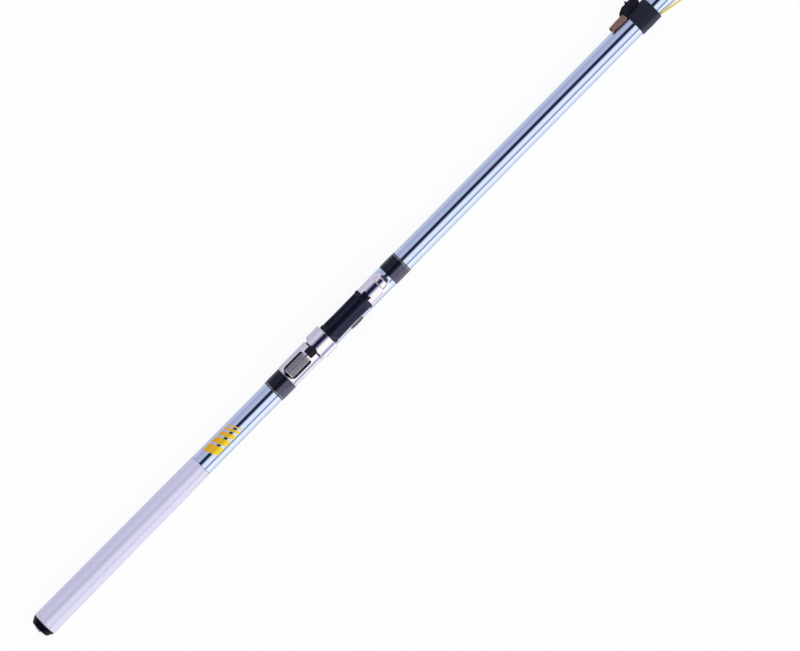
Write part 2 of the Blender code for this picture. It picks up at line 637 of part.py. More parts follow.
def make_seat_cover():
    """The moulded cover between the hoods: an arch with raised rims, and a tongue under the fixed hood."""
    start, end = COVER_X
    length, width, bevel = end - start, COVER_RIM_WIDTH, COVER_RIM_RISE
    rims = ((0.0, 0.0), (bevel, COVER_RIM_RISE), (width - bevel, COVER_RIM_RISE), (width, 0.0))
    far_rims = [(length - distance, rise) for distance, rise in reversed(rims)]
    stations = []
    for distance, rise in (*rims, (length / 2, -COVER_WAIST), *far_rims):
        stations.append((start + distance, arch(COVER_HALF_WIDTH + rise, COVER_BASE, COVER_TOP + rise)))
    cover = lofted_shell("seat_cover", black_plastic, stations, COVER_WALL)
    tongue_x = (end - OVERLAP_SHARE * COVER_WALL, end + TONGUE_LENGTH)
    tongue = arch_block("Cover tongue", tongue_x, TONGUE_HALF_WIDTH, TONGUE_BASE, COVER_TOP - CLEARANCE)
    combine(cover, tongue, "UNION")


def make_finger_pad():
    """The oval rubber pad bonded under the tube, turned a little to the side that shows."""
    count = 12
    stations = []
    for x, reach in PAD_STATIONS:
        radius = blank_radius(x) + PAD_GAP + PAD_WALL
        angles = [math.radians(PAD_MIDDLE + mix(-reach, reach, j / count)) for j in range(count + 1)]
        stations.append((x, [(radius * math.sin(a), radius * math.cos(a)) for a in angles]))
    lofted_shell("finger_pad", rubber, stations, PAD_WALL)


def make_strap():
    """The elastic strap, the bunch where its end is gathered, and the tapered toggle that closes it."""
    start, end = STRAP_X
    make_band("elastic_strap", start, end, blank_radius(start), elastic, STRAP_WALL)
    outside = blank_radius(start) + STRAP_WALL + 2 * CLEARANCE
    gather = block("strap_gather", GATHER_LOW, GATHER_HIGH, elastic, bevel=GATHER_ROUNDING)
    space_profile = rod_profile(TOGGLE_X[0], end + STRAP_WALL, outside)
    combine(gather, turned("Space for strap", None, space_profile, BAND_STEPS, closed=False), "DIFFERENCE")
    tip, back = TOGGLE_X
    bend_x = mix(tip, back, TOGGLE_BEND_PLACE)
    bend_radius = mix(TOGGLE_RADIUS_TIP, TOGGLE_RADIUS_BACK, TOGGLE_BEND_WIDTH)
    toggle = turned(
        "strap_toggle",
        brown,
        [
            (back, 0.0),
            (back, TOGGLE_RADIUS_BACK - TOGGLE_ROUNDING),
            (back - TOGGLE_ROUNDING, TOGGLE_RADIUS_BACK),
            (bend_x, bend_radius),
            (tip + TOGGLE_ROUNDING, TOGGLE_RADIUS_TIP),
            (tip, TOGGLE_RADIUS_TIP - TOGGLE_ROUNDING),
            (tip, 0.0),
        ],
        BORE_STEPS,
        closed=False,
    )
    toggle.location = (0, TOGGLE_Y, TOGGLE_Z)


def make_keeper_cord():
    """The yellow cord from the strap's edge to the floor, and the knot on its free end."""
    route = even_steps(smooth_route(CORD_POINTS, 8), CORD_STEP)
    cord = bpy.data.objects.new("keeper_cord", tube_curve("keeper_cord", route, CORD_RADIUS, 2))
    cord.data.materials.append(yellow)
    parts.objects.link(cord)
    length = sum(math.dist(a, b) for a, b in zip(route, route[1:]))
    print(f"keeper cord length {length:.4f} m, {len(route)} points")
    end_x, end_y, _ = CORD_POINTS[-1]
    profile = [(KNOT_LENGTH * place, KNOT_RADIUS * width) for place, width in KNOT_SHAPE]
    knot = turned("cord_knot", yellow, [(KNOT_LENGTH, 0.0), *profile, (0.0, 0.0)], BORE_STEPS, closed=False)
    knot.location = (end_x + CLEARANCE, end_y, FLOOR_Z + KNOT_RADIUS)


def make_sections():
    """The three nested tubes and the solid tip, all resting just clear of the cushion."""
    for number, (start, end, radius_start, radius_end, wall) in SECTIONS.items():
        turned(
            f"section_{number}_blank",
            silver,
            ring_profile(start, end, radius_start, radius_end, radius_start - wall, radius_end - wall),
            BAND_STEPS,
        )
    turned(
        "section_5_tip",
        carbon,
        [(TIP_END, 0.0), (TIP_END, TIP_RADIUS_END), (TIP_START, TIP_RADIUS_START), (TIP_START, 0.0)],
        closed=False,
    )


def make_ring(name, finish, inner, wall, width, centre, tilt):
    """A guide ring or the holder round it, leaning forward by the tilt."""
    outer = inner + wall
    half = width / 2
    rounding = RING_ROUNDING_SHARE * wall
    profile = [
        (half, outer - rounding),
        (0.0, outer),
        (-half, outer - rounding),
        (-half, inner + rounding),
        (0.0, inner),
        (half, inner + rounding),
    ]
    ring = turned(name, finish, profile)
    ring.location = centre
    ring.rotation_euler.y = tilt
    return ring


def make_guide(number):
    """A guide: a collar on the section's end, three legs, the holder, and the ceramic ring inside it."""
    start, end, radius, bore, insert_wall, holder_wall = GUIDES[number]
    inner = radius + CLEARANCE
    outer = inner + COLLAR_WALL
    holder_inner = bore + insert_wall + CLEARANCE
    centre = (end + RING_AHEAD, 0.0, outer + RING_LIFT + holder_inner + holder_wall)
    collar = ring_profile(start, end, outer, outer, inner, inner)
    frame = turned(f"guide_frame_{number}", guide_metal, collar)
    holder = make_ring(f"Holder {number}", None, holder_inner, holder_wall, RING_WIDTH, centre, GUIDE_TILT)
    combine(frame, holder, "UNION")
    thickness = LEG_THICKNESS_SHARE * holder_wall
    middle = holder_inner + holder_wall / 2
    lean = math.sin(GUIDE_TILT)
    for side in (-1, 1):
        foot = (start + LEG_FOOT[0] * outer, side * LEG_FOOT[1] * outer, LEG_FOOT[2] * outer)
        knee = (start + LEG_KNEE[0] * outer, side * LEG_KNEE[1] * outer, LEG_KNEE[2] * outer + KNEE_LIFT)
        height = -middle * math.sin(HIP_ANGLE)
        hip = (centre[0] + lean * height, side * middle * math.cos(HIP_ANGLE), centre[2] + height)
        leg = wire(f"Rear leg {number} {side}", smooth_route((foot, knee, hip), 3), thickness)
        combine(frame, leg, "UNION")
    toe = (end - COLLAR_WALL, 0.0, outer - CLEARANCE)
    heel = (centre[0] - lean * middle, 0.0, centre[2] - middle)
    combine(frame, wire(f"Front leg {number}", (toe, heel), thickness), "UNION")
    width = RING_WIDTH + RING_PROUD
    make_ring(f"guide_ring_{number}", ceramic, bore, insert_wall, width, centre, GUIDE_TILT)
    place = GUIDE_WINDINGS[number]
    make_band(f"guide_winding_{number}", *place, radius, black_thread, GUIDE_WINDING_WALL, RING_STEPS)


def make_tip_top():
    """The guide on the very tip: a tube glued over it, two struts and a small ring."""
    start, end = TIP_TOP_TUBE
    inner = TIP_RADIUS_END + 2 * CLEARANCE
    outer, floor = inner + TIP_TOP_WALL, TIP_END + CLEARANCE
    profile = [(end, 0.0), (end, outer), (start, outer), (start, inner), (floor, inner), (floor, 0.0)]
    frame = turned("tip_top_frame", guide_metal, profile, closed=False)
    holder_inner = TIP_RING_BORE + TIP_RING_WALL + CLEARANCE
    middle = holder_inner + TIP_RING_WALL / 2
    centre = TIP_RING_CENTRE
    holder = make_ring("Tip holder", None, holder_inner, TIP_RING_WALL, TIP_RING_WIDTH, centre, TIP_TILT)
    combine(frame, holder, "UNION")
    for side in (-1, 1):
        foot = (mix(start, end, STRUT_FOOT[0]), side * STRUT_FOOT[1] * inner, STRUT_FOOT[2] * inner)
        hip_y, hip_z = side * STRUT_HIP_ASIDE * middle, centre[2] - STRUT_HIP_DROP
        hip = (centre[0] - STRUT_HIP_BACK, hip_y, hip_z)
        combine(frame, wire(f"Tip strut {side}", (foot, hip), STRUT_RADIUS), "UNION")
    lean = math.sin(TIP_TILT)
    heel = (centre[0] - lean * middle, 0.0, centre[2] - middle)
    nose = wire("Tip nose", ((end - 2 * NOSE_RADIUS, 0.0, CLEARANCE), heel), NOSE_RADIUS)
    combine(frame, nose, "UNION")
    width = TIP_RING_WIDTH + RING_PROUD
    make_ring("tip_top_ring", ceramic, TIP_RING_BORE, TIP_RING_WALL, width, centre, TIP_TILT)


def cradle_outline(edge, foot, low):
    """(y, z) points down one flank of the cradle, across its flat foot and up the other flank."""
    top = mix(CRADLE_NOSE_TOP, CRADLE_TOP, min(1.0, (edge - CRADLE_STATIONS[-1][1]) / CRADLE_NOSE_BLEND))
    flank = [(edge, top)] + [(mix(foot, edge, out), down * low) for out, down in CRADLE_CORNER]
    return [(-y, z) for y, z in flank] + flank[::-1]


def make_cradle():
    """The moulded trough that holds the closed stack of guides: stepped inside, open above, flat below."""
    stations = [(x, cradle_outline(*shape)) for x, *shape in CRADLE_STATIONS]
    cradle = lofted_block("guide_cradle", black_plastic, stations)
    ends = [x for x, _ in CRADLE_BORES[1:]] + [CRADLE_BORE_END]
    profile = [(ends[-1], 0.0)]
    for (x0, radius), x1 in reversed(list(zip(CRADLE_BORES, ends))):
        profile += [(x1, radius), (x0, radius)]
    profile.append((CRADLE_BORES[0][0], 0.0))
    combine(cradle, turned("Trough", None, profile, BAND_STEPS, closed=False), "DIFFERENCE")
    for index, ((x0, radius), x1) in enumerate(zip(CRADLE_BORES, ends)):
        slot = block(f"Trough slot {index}", (x0 - CLEARANCE, -radius, 0.0), (x1, radius, SKY_Z))
        combine(cradle, slot, "DIFFERENCE")


clear_scene()
parts = make_collection("Rock fishing rod")
cutters = make_collection("Cutters")

silver = make_finish("Mirror silver coat", (0.80, 0.84, 0.90), 0.08, 0.9)
white = make_finish("White grip", (0.82, 0.83, 0.90), 0.45)
steel = make_finish("Bright steel", (0.86, 0.83, 0.86), 0.12, 1.0)
knurled_steel = make_finish("Knurled steel", (0.70, 0.70, 0.74), 0.30, 1.0)
black_steel = make_finish("Blackened steel", (0.03, 0.03, 0.035), 0.45, 0.8)
black_plastic = make_finish("Black plastic", (0.02, 0.02, 0.03), 0.40)
rubber = make_finish("Black rubber", (0.03, 0.03, 0.03), 0.80)
black_thread = make_finish("Black thread under epoxy", (0.015, 0.015, 0.02), 0.12)
gold = make_finish("Gold trim thread", (0.65, 0.48, 0.15), 0.25, 0.6)
elastic = make_finish("Black woven elastic", (0.02, 0.022, 0.035), 0.85)
brown = make_finish("Brown toggle", (0.17, 0.10, 0.09), 0.55)
yellow = make_finish("Yellow cord", (0.95, 0.72, 0.03), 0.60)
guide_metal = make_finish("Guide frame steel", (0.35, 0.35, 0.37), 0.25, 1.0)
ceramic = make_finish("Ceramic ring", (0.05, 0.05, 0.06), 0.10)
carbon = make_finish("Solid tip", (0.10, 0.10, 0.12), 0.30)

make_butt_section()
make_butt_cap()
make_seat_windings()
make_seat_plate()
make_screw_housing()
make_lock()
make_sliding_hood()
make_fixed_hood()
make_seat_cover()
make_finger_pad()
make_strap()
make_keeper_cord()
make_sections()
for guide_number in GUIDES:
    make_guide(guide_number)
make_tip_top()
make_cradle()
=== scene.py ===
import bpy
import numpy as np
from mathutils import Matrix, Vector


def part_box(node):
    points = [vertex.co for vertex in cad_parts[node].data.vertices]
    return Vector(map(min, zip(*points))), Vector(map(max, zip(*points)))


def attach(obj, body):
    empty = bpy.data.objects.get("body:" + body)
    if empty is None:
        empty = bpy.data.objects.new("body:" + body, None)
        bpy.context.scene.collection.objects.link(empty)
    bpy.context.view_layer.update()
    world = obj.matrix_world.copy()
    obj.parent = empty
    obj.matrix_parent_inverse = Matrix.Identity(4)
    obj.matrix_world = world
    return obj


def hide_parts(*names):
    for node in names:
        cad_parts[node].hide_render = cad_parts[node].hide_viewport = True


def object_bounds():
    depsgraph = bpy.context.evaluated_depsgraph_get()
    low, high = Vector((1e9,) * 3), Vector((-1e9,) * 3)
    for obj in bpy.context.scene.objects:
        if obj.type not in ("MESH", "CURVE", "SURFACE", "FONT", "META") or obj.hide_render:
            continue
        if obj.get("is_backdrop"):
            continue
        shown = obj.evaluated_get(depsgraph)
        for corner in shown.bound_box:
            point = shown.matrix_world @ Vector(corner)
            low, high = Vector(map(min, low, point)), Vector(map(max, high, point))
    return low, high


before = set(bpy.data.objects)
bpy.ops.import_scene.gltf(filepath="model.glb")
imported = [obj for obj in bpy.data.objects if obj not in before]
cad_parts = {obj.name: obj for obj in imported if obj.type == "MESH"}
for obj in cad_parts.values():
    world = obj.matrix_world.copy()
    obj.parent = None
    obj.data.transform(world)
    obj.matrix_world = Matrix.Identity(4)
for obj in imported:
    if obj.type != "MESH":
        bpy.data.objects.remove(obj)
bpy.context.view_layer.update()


# Camera. It stands far off with a long lens, nearly over the reel seat and leaning towards -Y, and is rolled
# so that the rod rises from the lower left of the picture to its upper right.
CAMERA_LEAN, CAMERA_ROLL = 3.6, 45.41
CAMERA_DISTANCE, PICTURE_WIDTH, SENSOR_WIDTH = 5.0, 0.8413, 36.0
PICTURE_MIDDLE = (0.4956, -0.0458)
lean, roll = np.radians((CAMERA_LEAN, CAMERA_ROLL))
along, across = Vector((1.0, 0.0, 0.0)), Vector((0.0, np.cos(lean), np.sin(lean)))
back = Vector((0.0, -np.sin(lean), np.cos(lean)))
right = along * np.cos(roll) - across * np.sin(roll)
up = along * np.sin(roll) + across * np.cos(roll)
camera = bpy.data.objects.new("Camera", bpy.data.cameras.new("Camera"))
camera.data.sensor_width = SENSOR_WIDTH
camera.data.lens = SENSOR_WIDTH * CAMERA_DISTANCE / PICTURE_WIDTH
camera.matrix_world = Matrix((right, up, back)).transposed().to_4x4()
middle = along * PICTURE_MIDDLE[0] + across * PICTURE_MIDDLE[1]
camera.matrix_world.translation = middle + back * CAMERA_DISTANCE
bpy.context.scene.collection.objects.link(camera)
bpy.context.scene.camera = camera
bpy.context.scene.view_settings.view_transform = "Standard"


# Keeper cord and its knot: 1.8 mm braided yellow cord, sewn under the strap's edge, lying along the floor
# beside the rod and ending in a stopper knot just past the picture's edge.
def maths(operation):
    """A method that adds a Math node of this operation to a socket and what is given with it."""

    def method(*terms):
        return terms[0].node("Math", dict(enumerate(terms)), operation=operation)

    return method


class Shade:
    """A socket of a material's nodes. Arithmetic on it adds Math nodes, and node() adds any other node."""

    __add__, __radd__, __mul__, __rmul__ = map(maths, ("ADD", "ADD", "MULTIPLY", "MULTIPLY"))
    __sub__, __truediv__, __pow__, __abs__ = map(maths, ("SUBTRACT", "DIVIDE", "POWER", "ABSOLUTE"))
    __gt__, __lt__ = map(maths, ("GREATER_THAN", "LESS_THAN"))
    sine, root, angle_from = map(maths, ("SINE", "SQRT", "ARCTAN2"))

    def __init__(self, tree, socket):
        self.tree, self.socket = tree, socket

    def __neg__(self):
        return self * -1.0

    def __rsub__(self, other):
        return self * -1.0 + other

    def node(self, kind, inputs=None, out=0, stops=(), **settings):
        """A new shader node: its settings or a ramp's stops come first, then its sockets' values or links."""
        made = self.tree.nodes.new("ShaderNode" + kind)
        for key, value in settings.items():
            setattr(made, key, value)
        for number, (start, colour) in enumerate(stops):
            elements = made.color_ramp.elements
            if number == 0:
                elements.remove(elements[1])
            stop = elements.new(start) if number else elements[0]
            stop.position, stop.color = start, (*colour, 1.0)
        for key, value in (inputs or {}).items():
            if isinstance(value, Shade):
                self.tree.links.new(value.socket, made.inputs[key])
            else:
                made.inputs[key].default_value = value
        return Shade(self.tree, made.outputs[out]) if len(made.outputs) else None

    def ramp(self, stops):
        """The colour between the two stops on either side of this value."""
        return self.node("ValToRGB", {"Fac": self}, stops=stops)

    def ease(self, low, high):
        """0 where this is below low, 1 above high, and a smooth step between."""
        ends = {"Value": self, "From Min": low, "From Max": high}
        return self.node("MapRange", ends, interpolation_type="SMOOTHSTEP")

    def tint(self, low, high):
        """The colour low where this is 0 and high where it is 1."""
        ends = [c if isinstance(c, Shade) else (*c, 1.0) for c in (low, high)]
        return self.node("Mix", {0: self, 6: ends[0], 7: ends[1]}, out=2, data_type="RGBA")

    def parts(self):
        """The x, y and z of a place."""
        return [self.node("SeparateXYZ", {0: self}, out=k) for k in range(3)]

    def stretched(self, *scale, turn=(0.0, 0.0, 0.0)):
        """The place turned, and scaled along each axis."""
        return self.node("Mapping", {"Vector": self, "Rotation": turn, "Scale": scale})

    def grain(self, scale, detail=3.0):
        """Noise from 0 to 1 at this place, with so many lumps to the metre."""
        sizes = {"Vector": self, "Scale": scale, "Detail": detail, "Roughness": 0.6}
        return self.node("TexNoise", sizes)

    def relief(self, depth, strength=1.0):
        """A bumped normal from this height, which is worth depth in metres where it is 1."""
        return self.node("Bump", {"Strength": strength, "Distance": depth, "Height": self})


def new_finish(name):
    """An empty material, and the place on the piece as its first socket."""
    material = bpy.data.materials.new(name)
    material.use_nodes = True
    material.node_tree.nodes.clear()
    coordinates = material.node_tree.nodes.new("ShaderNodeTexCoord")
    return material, Shade(material.node_tree, coordinates.outputs["Object"])


def close_finish(place, **sockets):
    """The shader and the output: underscores in the socket names stand for spaces."""
    sockets = {name.replace("_", " "): value for name, value in sockets.items()}
    shader = place.node("BsdfPrincipled", sockets)
    place.node("OutputMaterial", {"Surface": shader})


def skin(rows, ends="poles", around=True):
    """Points and faces of a grid of rings: each point joins the next ring and the next point round. The end
    rings are closed by a fan to the middle, as poles, or joined to each other, or open. A sheet isn't joined
    around."""
    m, n = rows.shape[:2]
    i = np.arange(m if ends == "joined" else m - 1)[:, None]
    j = np.arange(n if around else n - 1)[None, :]
    corners = (i * n + j, (i + 1) % m * n + j, (i + 1) % m * n + (j + 1) % n, i * n + (j + 1) % n)
    faces = [np.stack(np.broadcast_arrays(*corners), -1).reshape(-1, 4)]
    points = [rows.reshape(-1, 3)]
    if ends == "poles":
        ring = np.arange(n)
        for pole, row in enumerate((0, m - 1)):
            points.append(rows[row].mean(0)[None, :])
            fan = [row * n + (ring + 1) % n, row * n + ring, np.full(n, m * n + pole)]
            faces.append(np.stack(fan if row == 0 else [fan[1], fan[0], fan[2]], -1))
    return np.concatenate(points), faces


def make_piece(name, skins, finish, slot, *nodes, body="butt_section"):
    """One mesh of one skin or a list of them. Each is turned so that its volume about its middle is positive
    and its faces point out. It rides on its body in place of the nodes."""
    points, faces, count = [], [], 0
    for skin_points, skin_faces in skins if isinstance(skins, list) else [skins]:
        volume = 0.0
        for group in skin_faces:
            a, *others = (skin_points[corner] - skin_points.mean(0) for corner in group.T)
            for b, c in zip(others, others[1:]):
                volume += np.einsum("ij,ij->", a, np.cross(b, c))
        faces += [(group if volume > 0 else group[:, ::-1]) + count for group in skin_faces]
        points.append(skin_points)
        count += len(skin_points)
    mesh, faces = bpy.data.meshes.new(name), [face for group in faces for face in group.tolist()]
    mesh.from_pydata(np.concatenate(points).tolist(), [], faces)
    mesh.shade_smooth()
    mesh.materials.append(finish)
    obj = bpy.data.objects.new(name, mesh)
    bpy.context.scene.collection.objects.link(obj)
    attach(obj, body)
    if nodes:
        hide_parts(*nodes)
    return obj


def smooth_route(points, per_span):
    """Points along a Catmull-Rom curve: each span runs on a cubic set by the two points before it and after
    it."""
    points = np.asarray(points, float)
    padded = np.concatenate([points[:1], points, points[-1:]])
    p, q, r, s = (padded[k : k + len(points) - 1, None] for k in range(4))
    t = (np.arange(per_span) / per_span)[None, :, None]
    route = q + 0.5 * t * (r - p + t * (2 * p - 5 * q + 4 * r - s + t * (3 * q - p - 3 * r + s)))
    return np.concatenate([route.reshape(-1, points.shape[1]), points[-1:]])


def even_route(route, step):
    """The same route at equal steps of arc length."""
    walked = np.concatenate([[0.0], np.cumsum(np.linalg.norm(np.diff(route, axis=0), axis=1))])
    places = np.linspace(0.0, walked[-1], max(2, round(walked[-1] / step)) + 1)
    return np.stack([np.interp(places, walked, part) for part in np.transpose(route)], -1)


def angles(steps):
    """Even steps round one turn."""
    return np.linspace(0.0, 2 * np.pi, steps, endpoint=False)


def tube(route, radius, steps):
    """Rings round a route: each ring lies in the plane across the route, on the two directions that come from
    carrying an upright along it. radius is a number, or an array of (rings, 1) or (rings, steps)."""
    ahead = np.gradient(route, axis=0)
    side = np.cross(ahead, (0.0, 0.0, 1.0))
    rise = np.cross(side, ahead)
    side, rise = (way / np.linalg.norm(way, axis=1)[:, None] for way in (side, rise))
    angle = angles(steps)[:, None]
    ring = side[:, None] * np.cos(angle) + rise[:, None] * np.sin(angle)
    return route[:, None] + ring * np.broadcast_to(radius, ring.shape[:2])[..., None]


CORD_POINTS = (
    (0.9206, -0.01150, 0.00650), (0.9270, -0.01265, 0.00610), (0.9340, -0.01390, 0.00430),
    (0.9410, -0.01480, 0.00050), (0.9475, -0.01560, -0.00440), (0.9545, -0.01690, -0.00900),
    (0.9630, -0.01880, -0.01220), (0.9735, -0.02110, -0.01325), (0.9860, -0.02340, -0.01330),
    (1.0000, -0.02540, -0.01330), (1.0150, -0.02660, -0.01330), (1.0300, -0.02660, -0.01330),
    (1.0450, -0.02570, -0.01330), (1.0600, -0.02480, -0.01330), (1.0750, -0.02460, -0.01330),
    (1.0900, -0.02520, -0.01330), (1.1050, -0.02610, -0.01330),
)
CORD_RADIUS, CORD_SPAN_STEPS, CORD_SIDES = 0.00093, 24, 24
BRAID_STEP, BRAID_STRANDS, BRAID_DEPTH, BRAID_FULLNESS = 0.00018, 4, 0.10, 0.7
FLOOR_Z = -0.0142


def braided(route):
    """A round braid along the route. Two families of strands wind opposite ways, and each stands up where the
    product of their waves is high."""
    turn = angles(CORD_SIDES)[None, :] * BRAID_STRANDS / 2
    lead = (np.arange(len(route)) * BRAID_STEP / CORD_RADIUS)[:, None] * BRAID_STRANDS / 2
    height = np.abs(np.cos(turn + lead) * np.cos(turn - lead)) ** BRAID_FULLNESS
    return skin(tube(route, CORD_RADIUS * (1 - BRAID_DEPTH + BRAID_DEPTH * height), CORD_SIDES))


yellow_braid, place = new_finish("Yellow braid")
fibre, worn = place.grain(2600.0, 4.0), place.grain(90.0, 2.0)
close_finish(
    place,
    Base_Color=(fibre * 0.6 + worn * 0.4).tint((1.0, 0.64, 0.012), (1.0, 0.86, 0.03)),
    Roughness=fibre * 0.2 + 0.5,
    Normal=fibre.relief(0.00008),
    Sheen_Weight=0.2,
)
cord_route = even_route(smooth_route(CORD_POINTS, CORD_SPAN_STEPS), BRAID_STEP)
cord = make_piece("braided_cord", braided(cord_route), yellow_braid, "yellow_cord", "keeper_cord")
# The knot: the cord's end wound three and a half times round its own core, and drawn in at both ends.
KNOT_START, KNOT_LENGTH, KNOT_WRAPS, KNOT_LAY_RADIUS, KNOT_DRAW = 1.1053, 0.0064, 3.4, 0.00148, 9.0
KNOT_CORE_START, KNOT_CORE_END = KNOT_START - 0.0004, KNOT_START + 0.0058
share = np.linspace(0.0, 1.0, 240)
lay_radius = KNOT_LAY_RADIUS * np.sin(np.clip(np.minimum(share, 1 - share) * KNOT_DRAW, 0.0, 1.0) * np.pi / 2)
winding = 2 * np.pi * KNOT_WRAPS * share
knot_x = KNOT_START + CORD_RADIUS + (KNOT_LENGTH - 2 * CORD_RADIUS) * share
knot_y, knot_z = CORD_POINTS[-1][1], FLOOR_Z + KNOT_LAY_RADIUS + CORD_RADIUS
wraps = np.stack([knot_x, knot_y + lay_radius * np.sin(winding), knot_z + lay_radius * np.cos(winding)], -1)
core = np.array([[KNOT_CORE_START, *CORD_POINTS[-1][1:]], [KNOT_CORE_END, knot_y, knot_z]])
knot_skins = [braided(even_route(route, BRAID_STEP)) for route in (wraps, core)]
knot = make_piece("stopper_knot", knot_skins, yellow_braid, "yellow_cord", "cord_knot")


# Studio. A light tent: the walls on the +Y side are grey-blue, those on the -Y side brighter, and a dark slot
# over the rod is where the camera looks through. The floor is white card that also glows in glosses, warm on
# the -Y side and cool on the +Y side, and its glow is dimmed near the rod as a painted shadow.
def tent_ramp(turn, *stops):
    """The tent's colours, each at an angle from the camera's direction, positive towards -Y."""
    places = [(np.clip((degrees + CAMERA_LEAN) / 360.0 + 0.5, 0.0, 1.0), colour) for degrees, colour in stops]
    return turn.ramp(places)


def ray_kinds(shade):
    """1 for what the camera sees itself, and 1 for what it sees in a gloss."""
    return [shade.node("LightPath", out=f"Is {kind} Ray") for kind in ("Camera", "Glossy")]


world = bpy.data.worlds.new("Light tent")
bpy.context.scene.world = world
world.use_nodes = True
world.node_tree.nodes.clear()
world.cycles.sampling_method = "NONE"
direction = world.node_tree.nodes.new("ShaderNodeTexCoord")
direction = Shade(world.node_tree, direction.outputs["Generated"])
dx, dy, dz = direction.parts()
turn = (-dy).angle_from(dz) / (2 * np.pi) + 0.5
GREY_WALL, WHITE_WALL, SLOT = (0.53, 0.52, 0.66), (1.12, 1.08, 1.03), (0.006, 0.010, 0.040)
END_WALL, END_GAP, ROOM = (0.80, 0.78, 0.86), (0.05, 0.05, 0.09), (0.80, 0.80, 0.88)
tent = tent_ramp(
    turn, (-190, (0.50, 0.52, 0.66)), (-106, GREY_WALL), (-68, GREY_WALL), (-38, (0.68, 0.66, 0.80)),
    (-21, SLOT), (-5, SLOT), (2, (0.22, 0.25, 0.42)), (15, WHITE_WALL), (44, (1.06, 1.03, 1.04)),
    (52, (0.40, 0.44, 0.68)), (63, (0.33, 0.36, 0.60)), (74, (1.34, 1.26, 1.20)), (106, (1.46, 1.36, 1.28)),
    (124, (0.58, 0.56, 0.74)), (159, (0.52, 0.54, 0.70)),
)
tent = abs(dx).ease(0.30, 0.60).tint(tent, END_WALL)
tent = abs(dx).ease(0.70, 0.86).tint(tent, END_GAP)
soft = tent_ramp(
    turn, (-190, ROOM), (-96, (0.58, 0.58, 0.68)), (-26, (0.62, 0.62, 0.73)), (34, (1.02, 1.02, 1.06)),
    (114, (1.10, 1.10, 1.10)), (190, ROOM),
)
seen, mirrored = ray_kinds(direction)
sky = seen.tint(mirrored.tint(soft, tent), (1.0, 1.0, 1.0))
background = direction.node("Background", {"Color": sky, "Strength": 1.0})
direction.node("OutputWorld", {"Surface": background})

FLOOR_HALF, FLOOR_GAP = 4.0, 0.00005
WARM_GLOW, COOL_GLOW, WHITE = (1.24, 1.16, 1.11), (0.60, 0.60, 0.74), (1.0, 1.0, 1.0)
white_card, place = new_finish("White card")
seen, mirrored = ray_kinds(place)
side = place.parts()[1]
# Painted shadow: near the rod the floor's glow in glosses is dimmed, so that its reflection is darker there.
clear = abs(side).ease(0.022, 0.050)
glow_colour = mirrored.tint(WHITE, side.ease(-0.10, 0.10).tint(WARM_GLOW, COOL_GLOW))
card = place.node("BsdfDiffuse", {"Color": (0.94, 0.94, 0.94, 1.0)})
glow = place.node("Emission", {"Color": glow_colour, "Strength": 1.04})
share = seen * 0.85 + mirrored * (clear * 0.62 + 0.12)
mixed = place.node("MixShader", {0: share, 1: card, 2: glow})
place.node("OutputMaterial", {"Surface": mixed})
ways = (-1, -1), (1, -1), (1, 1), (-1, 1)
corners = [(x * FLOOR_HALF, y * FLOOR_HALF, FLOOR_Z - FLOOR_GAP) for x, y in ways]
floor_mesh = bpy.data.meshes.new("Floor")
floor_mesh.from_pydata(corners, [], [(0, 1, 2, 3)])
floor_mesh.materials.append(white_card)
floor = bpy.data.objects.new("Floor", floor_mesh)
bpy.context.scene.collection.objects.link(floor)
floor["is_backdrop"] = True


# Butt section: one tapered tube of wound carbon cloth under a mirror-silver coat, with slanted racing bars in
# yellow varnish above the grip. The other pieces of the handle are bonded or bound to it.
CUT_LIMIT, FLAT_KEEPER = 0.38, 1.25


def eased(corners, radius, arcs=4, closed=True):
    """The outline with each corner cut back along both its sides and rounded by a parabola through the cuts,
    whose control is the corner. Two more points beside each curve keep the flats flat. radius may be one for
    each corner."""
    p = np.asarray(corners, float)
    before, after = np.roll(p, 1, 0) - p, np.roll(p, -1, 0) - p
    lengths = [np.linalg.norm(step, axis=1)[:, None] for step in (before, after)]
    cut = np.minimum(np.reshape(radius, (-1, 1)), CUT_LIMIT * np.minimum(*lengths))
    before, after = (step / np.maximum(size, 1e-12) * cut for step, size in zip((before, after), lengths))
    t = np.linspace(0.0, 1.0, arcs + 1)[None, :, None]
    curve = (1 - t) ** 2 * (p + before)[:, None] + 2 * t * (1 - t) * p[:, None] + t**2 * (p + after)[:, None]
    keepers = [(p + step * FLAT_KEEPER)[:, None] for step in (before, after)]
    curve = np.concatenate([keepers[0], curve, keepers[1]], 1)
    if closed:
        return curve.reshape(-1, 2)
    return np.concatenate([p[:1], curve[1:-1].reshape(-1, 2), p[-1:]])


def turned(profile, steps=128, middle=(0.0, 0.0), lift=None):
    """Each point (x, r) of the profile carried round a line along X through middle=(y, z): at the angle a it
    is at (x, y + r sin a, z + r cos a). Where lift is given, lift(x, r, a) is added to r."""
    x, r = np.asarray(profile, float).T[:, :, None]
    turn = angles(steps)[None, :]
    r = r + (lift(x, r, turn) if lift else 0.0)
    return np.stack([x + 0 * turn, middle[0] + r * np.sin(turn), middle[1] + r * np.cos(turn)], -1)


def turned_ring(corners, radius, steps=128):
    """A ring with that closed outline, its corners eased."""
    return skin(turned(eased(corners, radius), steps), "joined")


def turned_solid(corners, radius, steps=128):
    """A solid whose outline starts and ends near the axis, closed there with poles."""
    return skin(turned(eased(corners, radius, closed=False), steps))


